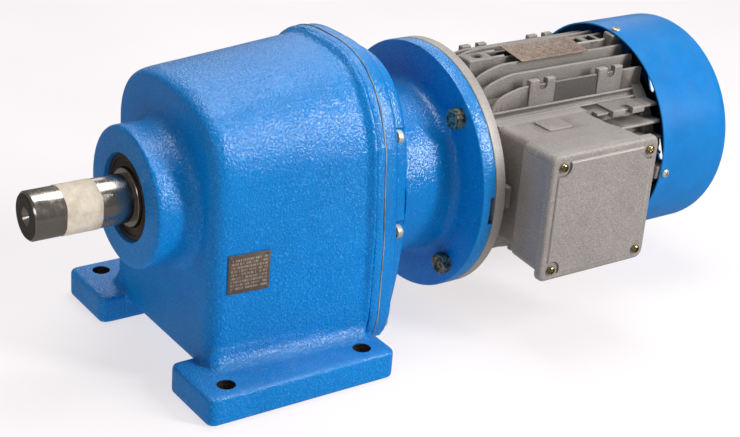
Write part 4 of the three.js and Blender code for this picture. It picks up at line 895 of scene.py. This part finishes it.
def fin_plate(off, x0, top_r=104.0, base=66.0):
    """Cooling fin standing on +Z, thicker at the root, round top, curved front end."""
    h = math.sqrt(top_r ** 2 - off ** 2)
    stations = [(0.0, 0.80), (1.2, 0.822), (3.5, 0.858), (7.0, 0.895), (13.0, 0.932), (22.0, 0.962), (31.0, 0.986), (40.0, 1.0), (452.0 - x0 - 0.9, 1.0), (452.0 - x0, 0.994)]
    secs = []
    for dx, k in stations:
        t = h * k
        w = 0.9 if dx == 0 else 1.0
        a, b = 1.55 * w, 2.35 * w
        base_z = min(base, t - 8)
        ring = [(-b, base_z), (-a, t - 1.5)] + [(-a * math.cos(rad(q)), t - 1.5 + 1.5 * math.sin(rad(q))) for q in (30, 60, 90, 120, 150)] + [(a, t - 1.5), (b, base_z)]
        secs.append([(x0 + dx, off + p, q) for p, q in ring])
    return skin(secs, "fin")


def spin(o, deg):
    o.data.transform(Matrix.Rotation(rad(deg), 4, "X"))
    return moved(o, dz=Z_IN)


def build_frame():
    o = lathe([(FR_X0, 75.3), (FR_X0, 89.2), (FR_X0 + 0.8, 90), (FR_X0 + 5, 90)] + [(FR_X0 + 5 + 4 * i / 5, 90 - 5 * (1 - math.cos(rad(18 * i)))) for i in range(1, 6)] + [(FR_X1 - 0.6, 84), (FR_X1, 83.4), (FR_X1, 75.3)], 0, Z_IN, 128, "barrel")
    keep = lambda: cyl("x", FR_X0 - 2, FR_X1 + 2, 76.6, 0, Z_IN, 128)
    fins = []
    for off in (-56, -40, -24, -8, 8, 24, 40, 56):
        x0 = 257 if abs(off) > 50 else 253
        for d in (0, 90, 180, 270):
            base = 60.0 if abs(off) > 30 else 72.0
            fins.append(spin(fin_plate(off, x0, base=base if abs(off) < 50 else 52.0), d))
    for d in (-45, 45, 135, 225):
        for e in (-4.2, 4.2):
            ring = lambda x: [(x, e - 2.4, 70), (x, e - 1.6, 88.0), (x, e - 0.9, 89.2), (x, e, 89.5), (x, e + 0.9, 89.2), (x, e + 1.6, 88.0), (x, e + 2.4, 70)]
            fins.append(spin(skin([ring(244), ring(440)], "rail"), d))
        fins.append(spin(block(244, 440, -13, 13, 68, 86.7, 1.6, 3), d))
    # pads with a half-round notch on the outer fins
    for x in (301, 391):
        for s in (-1, 1):
            for v in (-1, 1):
                a = s * 56
                z0, z1 = sorted((Z_IN + v * 62, Z_IN + v * 93))
                pad = block(x, x + 33, a - 3.2, a + 3.2, z0, z1, 1.1, 3)
                minus(pad, cyl("y", a - 5, a + 5, 5.2, x + 17, Z_IN + v * 87, 36))
                lo, hi = sorted((Z_IN + v * 87, Z_IN + v * 96))
                minus(pad, block(x + 11.8, x + 22.2, a - 5, a + 5, lo, hi))
                fins.append(pad)
    for v in (-1, 1):
        y0, y1 = sorted((v * 62, v * 92.5))
        pad = block(386, 430, y0, y1, Z_IN + 53, Z_IN + 60, 1.1, 3)
        minus(pad, cyl("z", Z_IN + 50, Z_IN + 62, 5.2, 408, v * 86, 36))
        y0, y1 = sorted((v * 86, v * 96))
        minus(pad, block(402.8, 413.2, y0, y1, Z_IN + 50, Z_IN + 62))
        fins.append(pad)
    rear_boss = block(414, 438, -9.7, 9.7, Z_IN + 73, Z_IN + 103.5, 2.0, 4)
    minus(rear_boss, cyl("y", -12, 12, 5.4, 426, Z_IN + 99, 36))
    minus(rear_boss, block(420.6, 431.4, -12, 12, Z_IN + 99, Z_IN + 108))
    fins.append(rear_boss)
    boss = block(261, 293, -9.7, 9.7, Z_IN + 73, Z_IN + 103.5, 2.4, 4)
    fins.append(boss)
    for v in (-1, 1):
        y0, y1 = sorted((v * 70, v * 108.5))
        fins.append(block(243.5, 262, y0, y1, Z_IN - 14, Z_IN + 9, 2.2, 4))
    # the frame has to stay clear of the bore: trim each piece first
    for f in fins:
        minus(f, keep())
    outer = [f for f in fins if max(v.co.x for v in f.data.vertices) > 0.4405]
    for f in outer:
        minus(f, cyl("x", FR_X1, 453, 90.4, 0, Z_IN, 96))
        for d in COWL_SCREWS:
            slot_ = block(442.3, 456.3, 78, 118, -7.4, 7.4)
            slot_.data.transform(Matrix.Rotation(rad(d), 4, "X"))
            minus(f, moved(slot_, dz=Z_IN))
    solid(o, fins, "UNION")
    minus(o, block(248.5, 370, -140, -79.7, Z_IN - 58.5, Z_IN + 62.5))
    seat = block(250, 362, -79.65, -58, 90, 203)
    minus(seat, keep())
    plus(o, seat)
    minus(o, block(290, 322, -90, -60, 130, 156))
    minus(o, cyl("z", Z_IN + 86, Z_IN + 106, 5.2, 277, 0, 40))
    minus(o, cyl("z", Z_IN + 102.6, Z_IN + 106, 6.2, 277, 0, 40, 7.6))
    minus(o, block(306, 404, -33, 15, Z_IN + 101, Z_IN + 112))
    return clean(o)


finish(build_frame(), "finned_frame", M_ALU, "root", ["motor_frame"], sharp=34)


def build_shield():
    s = lathe([(440.3, 62), (440.3, 89.4), (440.9, 90), (454.2, 90), (454.8, 89.4), (454.8, 17), (451, 17), (451, 62)], 0, Z_IN, 96, "shield")
    plus(s, cyl("x", 437.8, 452, 40, 0, Z_IN, 64))
    minus(s, cyl("x", 437, 454.2, 31.15, 0, Z_IN, 64), cyl("x", 436, 458, 17, 0, Z_IN, 48))
    for d in COWL_SCREWS:
        lug = block(442.8, 455.8, 83.75, 110.25, -7, 7, 1.4, 3)
        lug.data.transform(Matrix.Rotation(rad(d), 4, "X"))
        plus(s, moved(lug, dz=Z_IN))
    for d in COWL_SCREWS:
        h = cyl("y", 93, 113, 2.7, 453, 0, 20)
        h.data.transform(Matrix.Rotation(rad(d), 4, "X"))
        minus(s, moved(h, dz=Z_IN))
    return clean(s)


finish(build_shield(), "fan_side_shield", M_ALU, "root", ["fan_end_shield"], sharp=32)


def build_cowl():
    R, t, x1 = COWL_R, 1.9, COWL_X1
    outer = [(COWL_X0, R - 0.5), (COWL_X0 + 0.5, R)] + [(x, R) for x in (470, 500)] + arc(x1 - 15, R - 15, 15, 90, 0, 14) + [(x1, 60), (x1, 0)]
    inn = [(x1 - t, 0), (x1 - t, 60)] + arc(x1 - 15, R - 15, 15 - t, 0, 90, 14) + [(500, R - t), (470, R - t), (COWL_X0 + 0.5, R - t), (COWL_X0, R - t + 0.5)]
    o = lathe(inn + outer, 0, Z_IN, 160, "cowl")
    for r0, r1, n, w in ((24, 52, 8, 6), (58, 76, 16, 6)):
        for i in range(n):
            secs = []
            for x in (x1 - 5, x1 + 5):
                secs.append([(x, p, q) for p, q in round_rect(r0, r1, -w / 2, w / 2, w / 2 - 0.05, 6)])
            s = skin(secs, "slot")
            s.data.transform(Matrix.Rotation(2 * math.pi * (i + 0.5) / n, 4, "X"))
            minus(o, moved(s, dz=Z_IN))
    for d in COWL_SCREWS:
        h = cyl("y", R - 6, R + 6, 2.9, 453, 0, 20)
        h.data.transform(Matrix.Rotation(rad(d), 4, "X"))
        minus(o, moved(h, dz=Z_IN))
    return clean(o)


finish(build_cowl(), "fan_cowl_sheet", M_COWL, "root", ["fan_cowl"], sharp=30)


# ------------------------------------------------------------------ terminal box
def xz(y, outline):
    return [(x, y, z) for x, z in outline]


def build_box():
    rr_ = lambda i, r, top=0.0: round_rect(243.4 + i, 366.8 - i, 82.6 + i, 206 - i - top, r, 8)
    secs = [xz(-80, round_rect(250.5, 361.5, 90.5, 203.2, 7)), xz(-118.5, round_rect(250.1, 361.9, 89.6, 203.9, 7)), xz(-120.6, round_rect(249.2, 362.8, 88.6, 204.0, 7.2)),
            xz(-121.8, round_rect(247.0, 364.0, 86.4, 204.1, 7.6)), xz(-122.8, round_rect(245.4, 364.8, 84.6, 204.2, 8)), xz(-164.9, round_rect(243.4, 366.8, 82.6, 206, 9)), xz(-165.7, round_rect(243.9, 366.3, 83.1, 205.5, 8.6))]
    b = skin(secs, "box")
    minus(b, skin([xz(-76, round_rect(255, 357, 95, 199, 5)), xz(-118.5, round_rect(254.6, 357.4, 94, 199.6, 5)), xz(-166.7, round_rect(247.6, 362.6, 86.8, 201.8, 6))], "hollow"))
    for x, z in BOX_SCREWS:
        plus(b, cyl("y", -165.7, -140, 6.5, x, z, 32))
    for x, z in BOX_SCREWS:
        minus(b, cyl("y", -167.7, -148, 2.7, x, z, 20))
    minus(b, block(290, 322, -90, -78, 130, 156))
    plus(b, bar(287, 318, -110, -84.5, 202, 205.4, 3, 1.0))
    minus(b, cyl("z", 78, 98, 13.2, 305, -143, 40))
    return clean(b)


finish(build_box(), "box_casting", M_BOX, "root", ["terminal_box"], sharp=30)


def build_lid():
    X0, X1, Z0, Z1 = 238, 372.5, 79, 210
    R = lambda i, r: round_rect(X0 + i, X1 - i, Z0 + i, Z1 - i, r, 8)
    secs = [xz(-166, R(0.5, 8.6)), xz(-166.5, R(0, 9)), xz(-170.6, R(0, 9)), xz(-172.0, R(0.5, 8.8)), xz(-173.2, R(1.4, 8.2)), xz(-173.9, R(2.6, 7.4)), xz(-174.1, R(4.0, 7)), xz(-174.1, R(6.5, 6))]
    c = skin(secs, "lid")
    panel = skin([xz(-172, R(7.4, 2.6)), xz(-174.4, R(7.6, 2.5)), xz(-175.5, R(8.4, 2.2)), xz(-176, R(9.4, 1.8))], "panel")
    for x, z in BOX_SCREWS:
        minus(panel, cyl("y", -178, -171, 9.5, x, z, 48))
    plus(c, panel)
    minus(c, skin([xz(-172, round_rect(249, 361, 88.5, 200.5, 10, 6)), xz(-165, round_rect(249, 361, 88.5, 200.5, 10, 6))], "hollow"))
    for x, z in BOX_SCREWS:
        plus(c, cyl("y", -174.1, -166, 7, x, z, 32))
    for x, z in BOX_SCREWS:
        minus(c, cyl("y", -178, -164, 3, x, z, 20))
    return clean(c)


finish(build_lid(), "box_lid", M_BOX, "root", ["terminal_box_cover"], sharp=24)

# hexagon blanking plug under the box
pl = hex_head(-4.3, 0.0, 16, 0, 0, 0)
plus(pl, cyl("x", -0.3, 11.5, 12.8, 0, 0, 40))
pl.data.transform(T(305, -143, 82.5) @ Matrix.Rotation(rad(-90), 4, "Y"))
finish(pl, "entry_blank", M_BLACK, "root", ["cable_entry_plug"], sharp=28)


# ------------------------------------------------------------------ nodes that keep their drawn shape
def keep(name, mat):
    o = nodes[name]
    o.data.materials.clear()
    o.data.materials.append(mat)


for name in ("output_gear", "layshaft", "layshaft_gear", "input_shaft"):
    keep(name, M_GEAR)
keep("motor_shaft", M_SHAFT)
keep("output_key", M_KEY)
keep("bearing_bridge", M_IRON)
keep("input_oil_seal", M_SEAL)
keep("stator_core", M_LAM)
keep("rotor_core", M_LAM)
keep("stator_winding", M_WIRE)
keep("terminal_board", M_BOARD)
keep("cooling_fan", M_BLACK)
BEARINGS = ("output_front_bearing", "output_rear_bearing", "layshaft_front_bearing", "layshaft_rear_bearing", "input_bearing", "motor_drive_bearing", "motor_fan_bearing")
for name in BEARINGS:
    keep(name + "_outer_ring", M_BRG)
    keep(name + "_inner_ring", M_BRG)


# ------------------------------------------------------------------ floor, light and view
m_floor, nt, bs = tree("pale_floor")
g = G(nt)
tint = g.mix(g.ramp(g.noise(3.0, 2.0, 0.5), 0.3, 0.7), (0.300, 0.289, 0.292), (0.312, 0.300, 0.303))
g.put(bs.inputs["Base Color"], tint)
bs.inputs["Roughness"].default_value = 0.9
bs.inputs["Specular IOR Level"].default_value = 0.05
g.put(bs.inputs["Emission Color"], tint)
bs.inputs["Emission Strength"].default_value = 2.25
g.put(bs.inputs["Normal"], g.bump(g.noise(60.0, 3.0, 0.5), 0.0002, 0.3))
fme = bpy.data.meshes.new("floor")
fme.from_pydata([(-9, -9, -0.0004), (9, -9, -0.0004), (9, 9, -0.0004), (-9, 9, -0.0004)], [], [(0, 1, 2, 3)])
floor = link(bpy.data.objects.new("floor", fme))
floor.data.materials.append(m_floor)
# the studio floor is dark below the bright sweep, so reflections of it stay deep
floor.visible_glossy = False
m_dark, nt, bs = tree("floor_reflection")
bs.inputs["Base Color"].default_value = (0.02, 0.02, 0.02, 1.0)
bs.inputs["Emission Color"].default_value = (1.0, 0.96, 0.93, 1.0)
bs.inputs["Emission Strength"].default_value = 0.18
cme = bpy.data.meshes.new("floor_reflection")
cme.from_pydata([(-9, -9, -0.003), (9, -9, -0.003), (9, 9, -0.003), (-9, 9, -0.003)], [], [(0, 1, 2, 3)])
card = link(bpy.data.objects.new("floor_reflection", cme))
card.data.materials.append(m_dark)
card.visible_camera = False
card.visible_diffuse = False
card.visible_shadow = False

w = bpy.data.worlds.new("soft_room")
scene.world = w
w.use_nodes = True
w.node_tree.nodes["Background"].inputs[0].default_value = (1.0, 0.985, 0.99, 1.0)
w.node_tree.nodes["Background"].inputs[1].default_value = 0.15


def area(name, loc, target, size, power, color=(1, 1, 1), size_y=None):
    d = bpy.data.lights.new(name, "AREA")
    d.energy = power
    d.color = color
    d.shape = "RECTANGLE"
    d.size = size
    d.size_y = size_y or size
    o = link(bpy.data.objects.new(name, d))
    z = (Vector(loc) - Vector(target)).normalized()
    x = Vector((0, 0, 1)).cross(z).normalized() if abs(z.z) < 0.999 else Vector((1, 0, 0))
    y = z.cross(x)
    o.matrix_world = Matrix(((x.x, y.x, z.x, loc[0]), (x.y, y.y, z.y, loc[1]), (x.z, y.z, z.z, loc[2]), (0, 0, 0, 1)))
    return o


area("key_box", (1.25, -1.61, 1.28), (0.0, -0.1, 0.15), 0.42, 46, size_y=1.4)
area("front_box", (-1.7, -0.75, 0.95), (-0.05, 0.0, 0.14), 0.6, 3.0)
area("top_box", (0.3, 0.2, 1.9), (0.1, 0.0, 0.1), 1.0, 20)
area("back_box", (1.35, 1.95, 1.2), (0.1, 0.0, 0.2), 1.7, 8, size_y=1.1)

scene.view_settings.view_transform = "Standard"
scene.view_settings.look = "None"
scene.view_settings.exposure = 0.0
